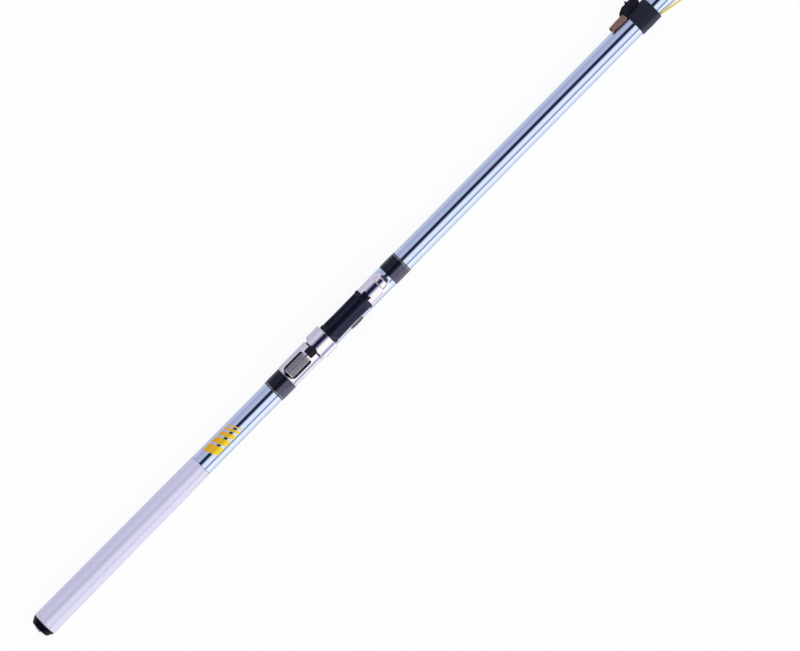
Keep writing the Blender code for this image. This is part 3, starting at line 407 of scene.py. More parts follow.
SILVER, GAP = (0.66, 0.78, 0.94), 0.0003
BLANK_X, BLANK_RADII, BLANK_BORE = (0.2442, 1.080), (0.01270, 0.01195), ((1.080, 0.0107), (0.240, 0.0110))
GRIP_X, GRIP_RADII, GRIP_WALL, GRIP_BORE = (0.0108, 0.2442), (0.0142, 0.01305), 0.0006, 0.0119
BARS_START, BARS_LENGTH, BAR_SLANT, BAR_MIDDLE, BAR_HALF_ARC = 0.2592, 0.045, 0.42, 0.0022, 0.0086
BAR_SPANS = ((0.04, 0.27), (0.33, 0.50), (0.56, 0.68), (0.74, 0.815), (0.87, 0.905))
BAR_TUBE_RADIUS, WIDEST_BORE = 0.0126, 0.01


def blank_radius(x):
    """The tube tapers evenly from above the grip to its mouth."""
    return np.interp(x, BLANK_X, BLANK_RADII)


def way(x, start, end):
    """How far x has come from start to end, from 0 to 1."""
    return np.clip((x - start) / (end - start), 0, 1)


def silver_coat(name, with_bars):
    """Mirror silver with faint waves and dust. The bars lie on x plus a share of the arc round the tube, and
    narrow towards the tip."""
    material, place = new_finish(name)
    dust, cloud = place.grain(5200.0, 2.0), place.stretched(12.0, 160.0, 160.0).grain(1.0, 2.0)
    colour = (cloud * 0.6 + dust * 0.4).tint([c * 0.97 for c in SILVER], SILVER)
    metallic, roughness = 1.0, dust * 0.035 + (cloud * 0.03 + 0.045)
    height = cloud * 0.00004 + dust * 0.000004
    if with_bars:
        x, y, z = place.parts()
        arc = y.angle_from(z) * BAR_TUBE_RADIUS
        ends = [(edge, (shade,) * 3) for span in BAR_SPANS for edge, shade in zip(span, (1.0, 0.0))]
        bars = ((x + arc * BAR_SLANT - BARS_START) / BARS_LENGTH).ramp([(0.0, (0.0,) * 3), *ends])
        bars.socket.node.color_ramp.interpolation = "CONSTANT"
        side = abs(arc - BAR_MIDDLE) - BAR_HALF_ARC
        paint = bars * (side < 0.0) * (y * y + z * z > WIDEST_BORE**2)
        paint_colour = (arc * 90.0 + 0.45).tint((1.0, 0.78, 0.015), (1.0, 0.50, 0.008))
        colour, metallic = paint.tint(colour, paint_colour), 1.0 - paint * 0.85
        roughness, height = roughness + paint * 0.10, height + paint * 0.00006
    normal = height.relief(1.0, 0.5)
    close_finish(place, Base_Color=colour, Metallic=metallic, Roughness=roughness, Normal=normal, IOR=1.5)
    return material


under_grip = zip(GRIP_X, np.subtract(GRIP_RADII, GRIP_WALL + GAP))
stops = np.linspace(GRIP_X[1] + 0.0004, BLANK_X[1], 40)
outline = [*under_grip, *zip(stops, blank_radius(stops)), *BLANK_BORE, (GRIP_X[0], GRIP_BORE)]
silver_with_bars = silver_coat("Mirror silver coat with bars", True)
make_piece("butt_blank_tube", turned_ring(outline, 0.0002, 160), silver_with_bars, "silver", "butt_blank")


# Grip: a smooth white sleeve shrunk over the tube, satin lacquered, with a slightly rolled edge at each end.
EDGE_START, EDGE_END, EDGE_ROLL = 0.0016, 0.0012, 0.00012
white_lacquer, place = new_finish("White lacquered sleeve")
peel, handling = place.grain(900.0), place.stretched(14.0, 60.0, 60.0).grain(1.0)
close_finish(
    place,
    Base_Color=handling.tint((0.71, 0.70, 0.88), (0.77, 0.76, 0.93)),
    Roughness=peel * 0.10 + (handling * 0.12 + 0.24),
    Normal=(peel + handling * 0.5).relief(0.00003),
    IOR=1.5,
    Coat_Weight=1.0,
    Coat_IOR=2.1,
    Coat_Roughness=0.10,
)
(x0, x1), (r0, r1) = GRIP_X, GRIP_RADII
stops = np.linspace(x0 + 0.006, x1 - 0.0030, 24)
sleeve = [
    (x0, r0 - GRIP_WALL), (x0, r0), (x0 + EDGE_START, r0 - 0.00002),
    *zip(stops, np.interp(stops, GRIP_X, GRIP_RADII)),
    (x1 - EDGE_END, r1 + EDGE_ROLL), (x1, r1 + 0.00002), (x1, r1 - GRIP_WALL),
]
make_piece("white_grip_sleeve", turned_ring(sleeve, 0.0003, 160), white_lacquer, "white_grip", "grip_sleeve")


# Trim ring: a thin satin steel ring between the grip and the cap, in the same kind of steel as the seat.
def bright_steel(name, tone, roughness, scratches=0.3, with_painted_shade=None):
    """Polished steel: faint cloud in its gloss, and hair-fine scratches that lie every way."""
    material, place = new_finish(name)
    cloud = place.grain(260.0)
    hair = place.stretched(220.0, 4200.0, 4200.0, turn=(0.4, 0.7, 0.5)).grain(1.0, 2.0).ease(0.62, 0.78)
    colour = cloud.tint([c * 0.95 for c in tone], tone)
    # Where a mask is given, the steel is painted darker there, to a tenth of its tone, as painted shade.
    if with_painted_shade is not None:
        colour = with_painted_shade(place).tint(colour, [c * 0.10 for c in tone])
    close_finish(
        place,
        Base_Color=colour,
        Metallic=1.0,
        Roughness=cloud * 0.05 + (hair * scratches * 0.3 + roughness),
        Normal=(hair * -0.4 + cloud * 0.3).relief(0.00001),
    )
    return material


STEEL_TONE = (0.97, 0.92, 0.955)
TRIM_OUTLINE = ((0.0100, 0.0116), (0.0100, 0.0141), (0.0107, 0.0142), (0.0107, 0.0116))
steel = bright_steel("Polished steel", STEEL_TONE, 0.07)
ring_steel = bright_steel("Satin ring steel", (1.0, 1.0, 1.0), 0.55)
trim_ring = turned_ring(TRIM_OUTLINE, 0.0002)
make_piece("polished_trim_ring", trim_ring, ring_steel, "bright_steel", "butt_trim_ring")


# Butt cap: turned black aluminium-filled nylon, chamfered, with a threaded plug that screws into the tube's
# end.
COOL_GLOSS = (0.60, 0.66, 1.0, 1.0)
CAP_OUTLINE = (
    (0.0020, 0.0058), (0.0022, 0.0103), (0.0085, 0.0138), (0.0099, 0.0141), (0.0099, 0.0113),
    (0.0202, 0.0113), (0.0202, 0.0010),
)
CAP_EASING = (0.0002, 0.0006, 0.0005, 0.0003, 0.0002, 0.0006, 0.0002)
PLUG_X, PLUG_RADIUS, CAP_BACK = (0.0097, 0.0194), 0.0113, 0.00995
THREAD_X, THREAD_LEAD, PLUG_THREAD_DEPTH, THREAD_RUN_OUT = (0.0100, 0.0192), 0.0020, 0.045, 0.0008


def moulded_black(name, tone, roughness, lumps=2400.0, depth=0.00002, gloss=1.42, lit_side_colour=None):
    """Black moulded plastic: fine spark-eroded grain, with patches rubbed a little glossier. Where a lit-side
    colour is given, the -Y side is painted in it, as painted light on the side facing the tent's bright
    walls."""
    material, place = new_finish(name)
    grit, patch = place.grain(lumps), place.grain(70.0, 2.0)
    colour = patch.tint(tone, [c * 1.7 for c in tone])
    # Painted light: the -Y side takes the lighter lit-side colour.
    if lit_side_colour is not None:
        colour = place.parts()[1].ease(-0.0050, -0.0020).tint(lit_side_colour, colour)
    close_finish(
        place,
        Base_Color=colour,
        Roughness=grit * 0.12 + (patch * 0.14 + roughness - 0.1),
        Normal=grit.relief(depth),
        IOR=gloss,
        Specular_Tint=COOL_GLOSS,
    )
    return material


def plug_thread(x, r, turn):
    """A round thread cut into the plug, as a share of its radius, that runs out at both ends."""
    start, end = (np.clip(room / THREAD_RUN_OUT, 0, 1) for room in (x - THREAD_X[0], THREAD_X[1] - x))
    groove = 0.5 + 0.5 * np.cos(2 * np.pi * x / THREAD_LEAD - turn)
    return -r * PLUG_THREAD_DEPTH * start * end * (r > PLUG_RADIUS - 0.0001) * groove


cap_black = moulded_black("Black cap", (0.0020, 0.0021, 0.0065), 0.24, gloss=1.2)
outline = eased(CAP_OUTLINE, CAP_EASING, closed=False)
plug = [(x, PLUG_RADIUS) for x in np.linspace(*PLUG_X, 90)]
outline = [*outline[outline[:, 0] <= CAP_BACK], *plug, *outline[outline[:, 0] > PLUG_X[1] + 0.0001]]
cap = skin(turned(outline, 144, lift=plug_thread))
make_piece("screw_in_cap", cap, cap_black, "black_plastic", "butt_cap", body="butt_cap")

# Coin disc: a polished steel disc pressed into the cap's face, with two notches for a coin or key.
NOTCH_WIDTH, NOTCH_REACH, NOTCH_DEPTH, NOTCH_EDGE = 0.0014, 0.0037, 0.0012, 0.00008
BRIM_START, BRIM_WIDTH, BRIM_FALL, DISC_DEPTH, DISC_STEPS = 0.0052, 0.0003, 0.00018, 0.0033, 288
DISC_RINGS = (np.linspace(0.0004, 0.0035, 8), np.linspace(0.00362, 0.0039, 6), np.linspace(0.0042, 0.0052, 7))
reach = np.concatenate([*DISC_RINGS, (0.0054, 0.00548, 0.0055)])[:, None]
y, z = reach * np.sin(angles(DISC_STEPS)), reach * np.cos(angles(DISC_STEPS))


def below(value, edge):
    """1 below the edge and 0 above it, with a soft step."""
    return np.clip((edge - value) / NOTCH_EDGE + 0.5, 0, 1)


sunk = NOTCH_DEPTH * below(np.abs(y), NOTCH_WIDTH / 2) * (1 - below(np.abs(z), NOTCH_REACH))
brim = BRIM_FALL * np.clip((reach - BRIM_START) / BRIM_WIDTH, 0, 1) ** 2
rows = np.stack([sunk + brim, y, z], -1)
rear = rows[-1:] * (0, 1, 1) + (DISC_DEPTH, 0, 0)
disc = skin(np.concatenate([rows, rear]))
make_piece("notched_coin_disc", disc, steel, "bright_steel", "cap_coin_disc", body="butt_cap")


# Cushion: a turned rubber plug on the cap's inner end. The ends of the nested sections rest on it.
def one_grain(name, dark, light, grain, matt, spread, depth, stretch=None, **sockets):
    """A finish whose colour, gloss and relief all follow one grain, stretched along the rod where stretch is
    given."""
    material, place = new_finish(name)
    lumps = (place.stretched(*stretch) if stretch else place).grain(*grain)
    matt, relief = lumps * spread + matt, lumps.relief(depth)
    close_finish(place, Base_Color=lumps.tint(dark, light), Roughness=matt, Normal=relief, **sockets)
    return material


CUSHION_OUTLINE = (
    (0.0205, 0.0020), (0.0205, 0.0108), (0.0222, 0.0108), (0.0228, 0.0101), (0.0258, 0.0101),
    (0.0264, 0.0108), (0.0280, 0.0108), (0.0280, 0.0020),
)
rubber_tones = (0.020, 0.020, 0.020), (0.045, 0.044, 0.042)
black_rubber = one_grain("Black rubber", *rubber_tones, (500.0, 4.0), 0.65, 0.2, 0.00004)
cushion = turned_solid(CUSHION_OUTLINE, 0.0006)
make_piece("rubber_cushion", cushion, black_rubber, "cushion", "cap_cushion", body="cap_cushion")


# Seat windings: black nylon thread wound tight over the seat's feet and flooded with clear epoxy, which domes
# over the thread and feathers out at both ends. A gold trim thread closes each winding on its outer side.
SEAT_WINDINGS = {"lower": (0.3546, 0.3732, 0.00045), "upper": (0.5240, 0.5436, 0.00020)}
THREAD_PITCH, WRAP_STEPS, WRAP_HEIGHT = 0.00030, 5, 0.000014
WINDING_SHOULDER, SHOULDER_DROP, EPOXY_DOME = 0.0009, 0.65, 0.00006


def wound_thread(name, dark, light, gloss, lit_side_colour=None):
    """Thread wraps seen through epoxy: a light line along each wrap, dark between, uneven round the rod.
    Where a lit-side colour is given, the -Y side is painted paler in it, as painted light."""
    material, place = new_finish(name)
    x, y, z = place.parts()
    lay = (x + place.grain(160.0, 2.0) * 0.00012) * (2 * np.pi / THREAD_PITCH) + y.angle_from(z)
    wrap, cloud = lay.sine() * 0.5 + 0.5, place.grain(420.0)
    colour = (wrap**2.0 * (cloud * 0.8 + 0.2)).tint(dark, light)
    # Painted light: the -Y side of the wraps is painted paler.
    if lit_side_colour is not None:
        colour = y.ease(-0.0045, -0.0015).tint((wrap * 0.6 + cloud * 0.4).tint(light, lit_side_colour), colour)
    close_finish(
        place,
        Base_Color=colour,
        Roughness=cloud * 0.16 + gloss,
        Normal=(wrap * 0.5 + cloud).relief(0.00003, 0.5),
        IOR=1.5,
        Specular_Tint=COOL_GLOSS,
    )
    return material


def winding(name, start, end, inner, wall, thread, slot, node, body="butt_section"):
    """A bound band: its surface is a low dome over the wraps, each wrap a shallow wave, with rounded
    shoulders."""
    x = np.linspace(start, end, int((end - start) / THREAD_PITCH * WRAP_STEPS) + 1)
    shoulder = np.clip(np.minimum(x - start, end - x) / WINDING_SHOULDER, 0, 1)
    dome = 1 - (1 - np.sin(shoulder * np.pi / 2)) * SHOULDER_DROP
    ripple = WRAP_HEIGHT * np.cos(2 * np.pi * x / THREAD_PITCH) * shoulder
    outer = inner(x) + wall * dome + ripple + EPOXY_DOME * np.sin(np.pi * (x - start) / (end - start))
    profile = [*zip(x, outer), (end, inner(end)), (start, inner(start))]
    make_piece(name, skin(turned(profile), "joined"), thread, slot, node, body=body)


def on_blank(x):
    """The radius of what lies on the tube."""
    return blank_radius(x) + GAP


thread_tones = (0.001, 0.001, 0.002), (0.008, 0.007, 0.014)
# Its last colour is painted light, paler on the windings' -Y side.
black_thread = wound_thread("Black thread under epoxy", *thread_tones, 0.06, (0.200, 0.185, 0.260))
gold_thread = wound_thread("Gold trim thread", (0.04, 0.028, 0.008), (0.27, 0.20, 0.06), 0.14)
for side, (x0, x1, wall) in SEAT_WINDINGS.items():
    node = f"winding_{side}"
    winding(f"{side}_seat_winding", x0, x1, on_blank, wall, black_thread, "black_thread", node)
    low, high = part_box(f"{node}_trim")
    winding(f"{side}_gold_trim", low.x, high.x, on_blank, wall, gold_thread, "gold_thread", f"{node}_trim")


# Seat plate: a saddle pressed from steel sheet to the tube's curve, flat on top where a reel's foot stands,
# and narrowing under the fixed hood to a cut-off foot. The windings hold it down.
SHEET_REACH, PROBE = 0.02, 0.00001


def cut_sheet(x, across_steps, shape, openings=()):
    """A grid over the length x and the share w of the way across, from -1 to 1. Faces whose middle lies
    inside an opening are left out, and points on its edge are moved on to it down the slope of its distance.
    shape turns x and w into y and z, and an opening gives its distance from x and y."""
    flat = np.stack(np.meshgrid(x, np.linspace(-1, 1, across_steps), [0.0], indexing="ij"), -1)[:, :, 0]
    points, (faces,) = skin(flat, "open", around=False)
    points, scale = points[:, :2], np.array([1.0, SHEET_REACH])
    for opening in openings:

        def distance(spots):
            return opening(spots[:, 0], shape(*spots.T)[0])

        inside = distance(points[faces].mean(1)) < 0
        edge = np.intersect1d(faces[inside], faces[~inside])
        for _ in range(3):
            spots = points[edge]
            probes = [np.array(step) / scale * PROBE for step in ((1, 0), (0, 1))]
            rises = [distance(spots + probe) - distance(spots - probe) for probe in probes]
            slope = np.stack(rises, -1) / PROBE / 2
            slope[np.isin(spots[:, 0], (x[0], x[-1])), 0] = 0.0
            slope /= np.maximum((slope**2).sum(1), 0.1)[:, None]
            points[edge] -= distance(spots)[:, None] * slope / scale
        faces = faces[~inside]
    used, faces = np.unique(faces, return_inverse=True)
    px, pw = points[used].T
    return np.stack([px, *shape(px, pw)], -1), [faces.reshape(-1, 4)]


def press(obj, thickness, edge, lining=None):
    """Gives a sheet its thickness inwards and breaks its edges. The lining is the finish of its inner
    side."""
    wall = obj.modifiers.new("Sheet thickness", "SOLIDIFY")
    wall.thickness, wall.offset, wall.use_even_offset = thickness, -1.0, True
    if lining is not None:
        obj.data.materials.append(lining)
        wall.material_offset = 1
    edges = obj.modifiers.new("Broken edges", "BEVEL")
    edges.width, edges.segments, edges.limit_method, edges.angle_limit = edge, 2, "ANGLE", np.radians(40)
    edges.harden_normals = True


def steps_at(*stretches):
    """Sorted places: each stretch is a start, an end and a count of points."""
    return np.unique(np.round(np.concatenate([np.linspace(*stretch) for stretch in stretches]), 6))


PLATE_WALL, PLATE_EDGE, PLATE_X, PLATE_SHADE_X = 0.0014, 0.00025, (0.4062, 0.5212), (0.4136, 0.4158)
DECK_X, DECK_Z, DECK_SHOULDER, DECK_SHIFT = (0.4360, 0.4890), 0.0134, 0.0012, 0.7
PLATE_TAPER = ((0.5040, 50.0), (0.5130, 47.0), (0.5158, 44.0), (0.5192, 35.0), (0.5208, 30.0), (0.5212, 27.0))
FOOT_RISE_X, FOOT_RISE, FOOT_SLOPE_X, FOOT_DROP = (0.5060, 0.5085), 0.0013, (0.5168, 0.5212), 0.0026


def plate_shape(x, w):
    """The saddle, w of its half angle from the middle. It is pressed flat over the deck, with soft shoulders,
    and crowned past the fixed hood, where it slopes down to its end."""
    half_angle = np.radians(np.interp(x, *zip(*PLATE_TAPER)))
    crown = FOOT_RISE * way(x, *FOOT_RISE_X) * (1 - w**4)
    radius = on_blank(x) + PLATE_WALL + crown - FOOT_DROP * way(x, *FOOT_SLOPE_X)
    y, z = radius * np.sin(w * half_angle), radius * np.cos(w * half_angle)
    deck = np.clip(np.minimum(x - DECK_X[0], DECK_X[1] - x) / DECK_SHOULDER + DECK_SHIFT, 0, 1)
    return y, z - deck * deck * (3 - 2 * deck) * np.maximum(z - DECK_Z, 0)


def gap_shade_mask(place):
    """A mask of painted shade on the plate, under the housing's end and in the gap up to the sliding hood."""
    return (1.0 - place.parts()[0].ease(*PLATE_SHADE_X)) * 0.97


# Painted shade: the plate is darkened under the housing's end and in the gap before the sliding hood.
plate_steel = bright_steel("Polished plate steel", STEEL_TONE, 0.07, with_painted_shade=gap_shade_mask)
# Painted shade: a near-black steel that lines the inner faces of the housing and hoods, so that their insides
# and the gaps into them look shaded.
shade_lining_steel = bright_steel("Dark shade-lining steel", (0.085, 0.080, 0.095), 0.30)
x0, x1 = DECK_X
x = steps_at((*PLATE_X, 150), (x0 - 0.0015, x0 + 0.0005, 9), (x1 - 0.0005, x1 + 0.0010, 9))
sheet = cut_sheet(x, 49, plate_shape)
plate = make_piece("pressed_seat_plate", sheet, plate_steel, "bright_steel", "seat_plate")
press(plate, PLATE_WALL, PLATE_EDGE)


# Screw housing: a deep-drawn steel arch bound under the lower winding. Its window shows the lock nut, and the
# slot in front of it leaves room for the screw. A bored steel plate inside it parts the two.
CROWN_RADIUS, SHOULDER_RADIUS, SHOULDER_SHARE = 0.0205, 0.0024, 0.30
HOUSING_X, HOUSING_HALF_WIDTH, HOUSING_BASE, HOUSING_TOP = (0.3733, 0.4127), 0.0128, 0.0056, 0.0242
HOUSING_WALL, HOUSING_EDGE, NOSE_X, RIM_TOP = 0.0010, 0.00016, (0.3734, 0.3744), 0.0170
WINDOW_X, WINDOW_HALF_WIDTH, WINDOW_CORNERS = (0.3751, 0.4037), 0.0084, (0.0060, 0.0018)
SLOT_HALF_WIDTH, CUT_CORNER, PAST_END = 0.0055, 0.0012, 0.004
PARTITION_X, PARTITION_BORE, SCREW_AXIS_Z = (0.4037, 0.4057), 0.00545, 0.01975
SADDLE_RADIUS, BORED_EDGE = 0.01455, 0.00015


def arched(half_width, base, top, inset=0.0, foot=None):
    """The shape of a sheet over an arch whose crown follows top(x). From the middle, w runs evenly round the
    crown's arc, round the shoulder's arc that meets it, and straight down to the foot. inset moves all of it
    inwards."""

    def shape(x, w):
        crest = top(x)
        shoulder = np.minimum(SHOULDER_RADIUS, SHOULDER_SHARE * (crest - base))
        reach, out = CROWN_RADIUS - shoulder, half_width - shoulder
        turn, level = np.arcsin(out / reach), crest - CROWN_RADIUS + np.sqrt(reach**2 - out**2)
        crown_way, bend_way = (CROWN_RADIUS - inset) * turn, (shoulder - inset) * (np.pi / 2 - turn)
        gone = np.abs(w) * (crown_way + bend_way + level - (base if foot is None else foot))
        angle = np.minimum(gone / (CROWN_RADIUS - inset), turn)
        bend = np.clip((gone - crown_way) / (shoulder - inset), 0, np.pi / 2 - turn)
        down = np.maximum(gone - crown_way - bend_way, 0)
        y = reach * np.sin(angle) + (shoulder - inset) * np.sin(angle + bend)
        z = crest - CROWN_RADIUS + reach * np.cos(angle) + (shoulder - inset) * np.cos(angle + bend) - down
        return np.sign(w) * y, z

    return shape


def window(x0, x1, half_width, corners):
    """The distance to a rectangle in x and y, negative inside. Its corners have one radius at x0 and one at
    x1."""

    def distance(x, y):
        corner = np.where(x < (x0 + x1) / 2, *np.broadcast_to(corners, 2))
        past_x = np.abs(x - (x0 + x1) / 2) - (x1 - x0) / 2 + corner
        past_y = np.abs(y) - half_width + corner
        outside = np.hypot(np.maximum(past_x, 0), np.maximum(past_y, 0))
        return outside + np.minimum(np.maximum(past_x, past_y), 0) - corner

    return distance


def housing_top(x):
    """A low rim next to the winding, then a steep face that rises on an S into the level top."""
    return RIM_TOP + (HOUSING_TOP - RIM_TOP) * (1 - (1 - way(x, *NOSE_X) ** 2) ** 2)


def bored_plate(name, x0, x1, arch, inset, hole, body="butt_section"):
    """A plate across the rod, bored on the screw's axis. Rays from the hole's middle run out to the arch
    above and to the seat plate's circle below, and the section along each ray is a bar with eased corners."""
    y, z = arched(*arch, inset)(np.full(401, x0), np.linspace(-1, 1, 401))
    low = np.linspace(1, -1, 361) * np.arccos(SADDLE_RADIUS / SCREW_AXIS_Z)
    above = z > SADDLE_RADIUS * np.cos(low[0])
    y = np.concatenate([y[above], SADDLE_RADIUS * np.sin(low)])
    z = np.concatenate([z[above], SADDLE_RADIUS * np.cos(low)]) - SCREW_AXIS_Z
    heading = np.arctan2(y, z) % (2 * np.pi)
    order = np.argsort(heading)
    ray = angles(144)
    reach = np.interp(ray, heading[order], np.hypot(y, z)[order], period=2 * np.pi)
    px, share = eased([(x0, 0.0), (x0, 1.0), (x1, 1.0), (x1, 0.0)], BORED_EDGE).T[:, :, None]
    length = hole + (reach - hole) * share
    rows = np.stack([px + 0 * length, length * np.sin(ray), SCREW_AXIS_Z + length * np.cos(ray)], -1)
    make_piece(name, skin(rows, "joined"), steel, "bright_steel", body=body)


x = steps_at((HOUSING_X[0], NOSE_X[0], 5), (*NOSE_X, 20), (NOSE_X[1], HOUSING_X[1], 90))
housing_arch = HOUSING_HALF_WIDTH, HOUSING_BASE, housing_top
openings = (
    window(*WINDOW_X, WINDOW_HALF_WIDTH, WINDOW_CORNERS),
    window(PARTITION_X[1], HOUSING_X[1] + PAST_END, SLOT_HALF_WIDTH, CUT_CORNER),
)
sheet = cut_sheet(x, 151, arched(*housing_arch), openings)
housing = make_piece("arched_screw_housing", sheet, steel, "bright_steel", "screw_housing")
# Its inner faces take the near-black lining steel as painted shade.
press(housing, HOUSING_WALL, HOUSING_EDGE, shade_lining_steel)
bored_plate("housing_partition", *PARTITION_X, housing_arch, HOUSING_WALL * 0.9, PARTITION_BORE)


# Lock nut: a turned steel barrel with a square-cut knurl and a short journal, held in the window so that it
# turns but can't travel. The fingers turn it through the window.
NUT_X, NUT_RADIUS, NUT_BORE, NUT_WEB, NUT_EASING = (0.3773, 0.4032), 0.0067, 0.00545, 0.0010, 0.0004
KNURL_PITCH, KNURL_COUNT, KNURL_DEPTH, KNURL_GROOVE, KNURL_SLOPE = 0.00145, 28, 0.00035, 0.42, 0.14
NUT_RIM, KNURL_RIM, STEPS_PER_LAND, NEAR_AXIS = 0.0012, 0.0011, 8, 0.0006
JOURNAL_RADIUS, JOURNAL_LENGTH = 0.0030, 0.0030


def from_screw_axis(place):
    """The distance to the axis of the nut and the screw."""
    _, y, z = place.parts()
    z = z - SCREW_AXIS_Z
    return (y * y + z * z).root()


def knurl_groove_shade(place):
    """Painted shade in the knurl's grooves, which are darkened where they lie below the lands."""
    on_land = from_screw_axis(place).ease(NUT_RADIUS - KNURL_DEPTH, NUT_RADIUS - KNURL_DEPTH * 0.3)
    return (1.0 - on_land) * 0.95


def knurl(x, r, turn):
    """Grooves along and round the barrel, a share of their pitch wide: the nearer of the two sets the
    depth."""
    ways = (x - NUT_X[0]) / KNURL_PITCH, KNURL_COUNT * turn / (2 * np.pi)
    from_groove = np.minimum(*(np.abs((u + 0.5) % 1.0 - 0.5) for u in ways))
    cuts = np.clip((KNURL_GROOVE / 2 + KNURL_SLOPE / 2 - from_groove) / KNURL_SLOPE, 0, 1)
    on_barrel = (r > NUT_RADIUS - 1e-6) & (x > NUT_X[0] + KNURL_RIM) & (x < NUT_X[1] - KNURL_RIM)
    return -KNURL_DEPTH * cuts * on_barrel


# Painted shade darkens the knurl's grooves.
knurled = bright_steel("Knurled steel", (0.74, 0.73, 0.78), 0.10, 0.05, knurl_groove_shade)
x0, x1 = NUT_X
start = x0 - JOURNAL_LENGTH
corners = [(x0, JOURNAL_RADIUS), (x0, NUT_RADIUS), (x0 + NUT_RIM, NUT_RADIUS)]
corners = eased(corners, NUT_EASING, closed=False)[1:-1]
barrel = [(x, NUT_RADIUS) for x in np.linspace(x0 + NUT_RIM, x1 - NUT_RIM, 180)]
profile = [
    (start, NEAR_AXIS), (start, JOURNAL_RADIUS - 0.0002), (x0 - 0.0001, JOURNAL_RADIUS), *corners, *barrel,
    *((x0 + x1 - x, r) for x, r in corners[::-1]), (x1, NUT_BORE), (x0 + NUT_WEB, NUT_BORE),
    (x0 + NUT_WEB, NEAR_AXIS),
]
nut = skin(turned(profile, KNURL_COUNT * STEPS_PER_LAND, (0.0, SCREW_AXIS_Z), knurl))
make_piece("knurled_lock_nut", nut, knurled, "knurled_steel", "lock_nut", body="lock_nut")


# Lock screw: blackened steel with a two-start thread of 2 mm lead, riveted in the sliding hood. The nut draws
# it in or drives it out.
SCREW_X, SCREW_RADIUS, THREAD_DEPTH = (0.3865, 0.4238), 0.00515, 0.00042
NECK_LENGTH, NECK_RADIUS = 0.0022, 0.00435


def screw_thread(x, r, turn):
    """Two trapezium grooves round the shank, half a lead apart."""
    wave = np.abs((x / (THREAD_LEAD / 2) - turn / np.pi) % 1.0 - 0.5) * 2
    return -THREAD_DEPTH * np.clip(wave * 1.5 - 0.25, 0, 1) * (r == SCREW_RADIUS)


black_steel, place = new_finish("Blackened steel")
crest = from_screw_axis(place).ease(SCREW_RADIUS - THREAD_DEPTH * 0.7, SCREW_RADIUS)
oil = place.grain(900.0)
close_finish(
    place,
    Base_Color=(crest * (oil * 0.5 + 0.5)).tint((0.010, 0.009, 0.013), (0.15, 0.13, 0.17)),
    Metallic=0.85,
    Roughness=oil * 0.2 + 0.28,
    Normal=oil.relief(0.00002),
)
x0, x1 = SCREW_X
shank = [(x, SCREW_RADIUS) for x in np.linspace(x0 + 0.0003, x1 - NECK_LENGTH, 390)]
profile = [
    (x0, 0.0008), (x0, SCREW_RADIUS - 0.0005), *shank, (x1 - NECK_LENGTH + 0.0001, NECK_RADIUS),
    (x1 - 0.0002, NECK_RADIUS), (x1, NECK_RADIUS - 0.00025), (x1, 0.0008),
]
screw = skin(turned(profile, 96, (0.0, SCREW_AXIS_Z), screw_thread))
make_piece("threaded_lock_screw", screw, black_steel, "black_steel", "lock_screw", body="sliding_hood")


# Sliding hood: a drawn steel hood that slides over the housing's end, its rear rim cut back round the screw
# and at the sides. A steel block inside holds the screw, and a black moulded liner in its mouth bears on the
# reel's foot.
HOOD_X, HOOD_HALF_WIDTH, HOOD_BASE, HOOD_WALL, HOOD_TOP = (0.4153, 0.4346), 0.0145, 0.0040, 0.0009, 0.0263
HOOD_FALL_X, HOOD_FALL, HOOD_SIDE_CUT, HOOD_EDGE = 0.4215, 0.0006, 0.0022, 0.00042
SCALLOP_RADIUS, SCALLOP_OVERHANG, BLOCK_X, BLOCK_BORE = 0.0075, 0.0062, (0.4218, 0.4242), 0.0045
LINER_X, LINER_WALL, LINER_EDGE, LINER_FOOT = (0.4246, 0.4342), 0.0008, 0.00015, 0.0152
liner_black = moulded_black("Black liner", (0.008, 0.008, 0.012), 0.42)


def hood_top(x):
    """Level over the block, then falling on a parabola to the mouth."""
    return HOOD_TOP - HOOD_FALL * way(x, HOOD_FALL_X, HOOD_X[1]) ** 2


def rim_scallop(x, y):
    """The distance to the round cut in the rear rim: a circle about a point behind the rim."""
    return np.hypot(x - HOOD_X[0] + SCALLOP_OVERHANG, y) - SCALLOP_RADIUS


def rim_side_cut(x, y):
    """Past a line that curves forward near the hood's sides."""
    return x - HOOD_X[0] - HOOD_SIDE_CUT * np.abs(y / HOOD_HALF_WIDTH) ** 8


def hood(kind, sheet, arch, wall, edge, liner_x, body):
    """A drawn hood, and its moulded liner, which follows the arch a wall and a gap inside it, down to the
    height of a reel's foot."""
    drawn = make_piece(f"drawn_{kind}_hood", sheet, steel, "bright_steel", f"{kind}_hood", body=body)
    # The hood's inner faces take the near-black lining steel as painted shade.
    press(drawn, wall, edge, shade_lining_steel)
    sheet = cut_sheet(np.linspace(*liner_x, 40), 81, arched(*arch, wall + GAP, LINER_FOOT))
    name, node = f"{kind}_hood_moulded_liner", f"{kind}_hood_liner"
    press(make_piece(name, sheet, liner_black, "black_plastic", node, body=body), LINER_WALL, LINER_EDGE)


arch = HOOD_HALF_WIDTH, HOOD_BASE, hood_top
sheet = cut_sheet(np.linspace(*HOOD_X, 62), 161, arched(*arch), (rim_side_cut, rim_scallop))
hood("sliding", sheet, arch, HOOD_WALL, HOOD_EDGE, LINER_X, "sliding_hood")
bored_plate("sliding_hood_block", *BLOCK_X, arch, HOOD_WALL * 0.95, BLOCK_BORE, body="sliding_hood")


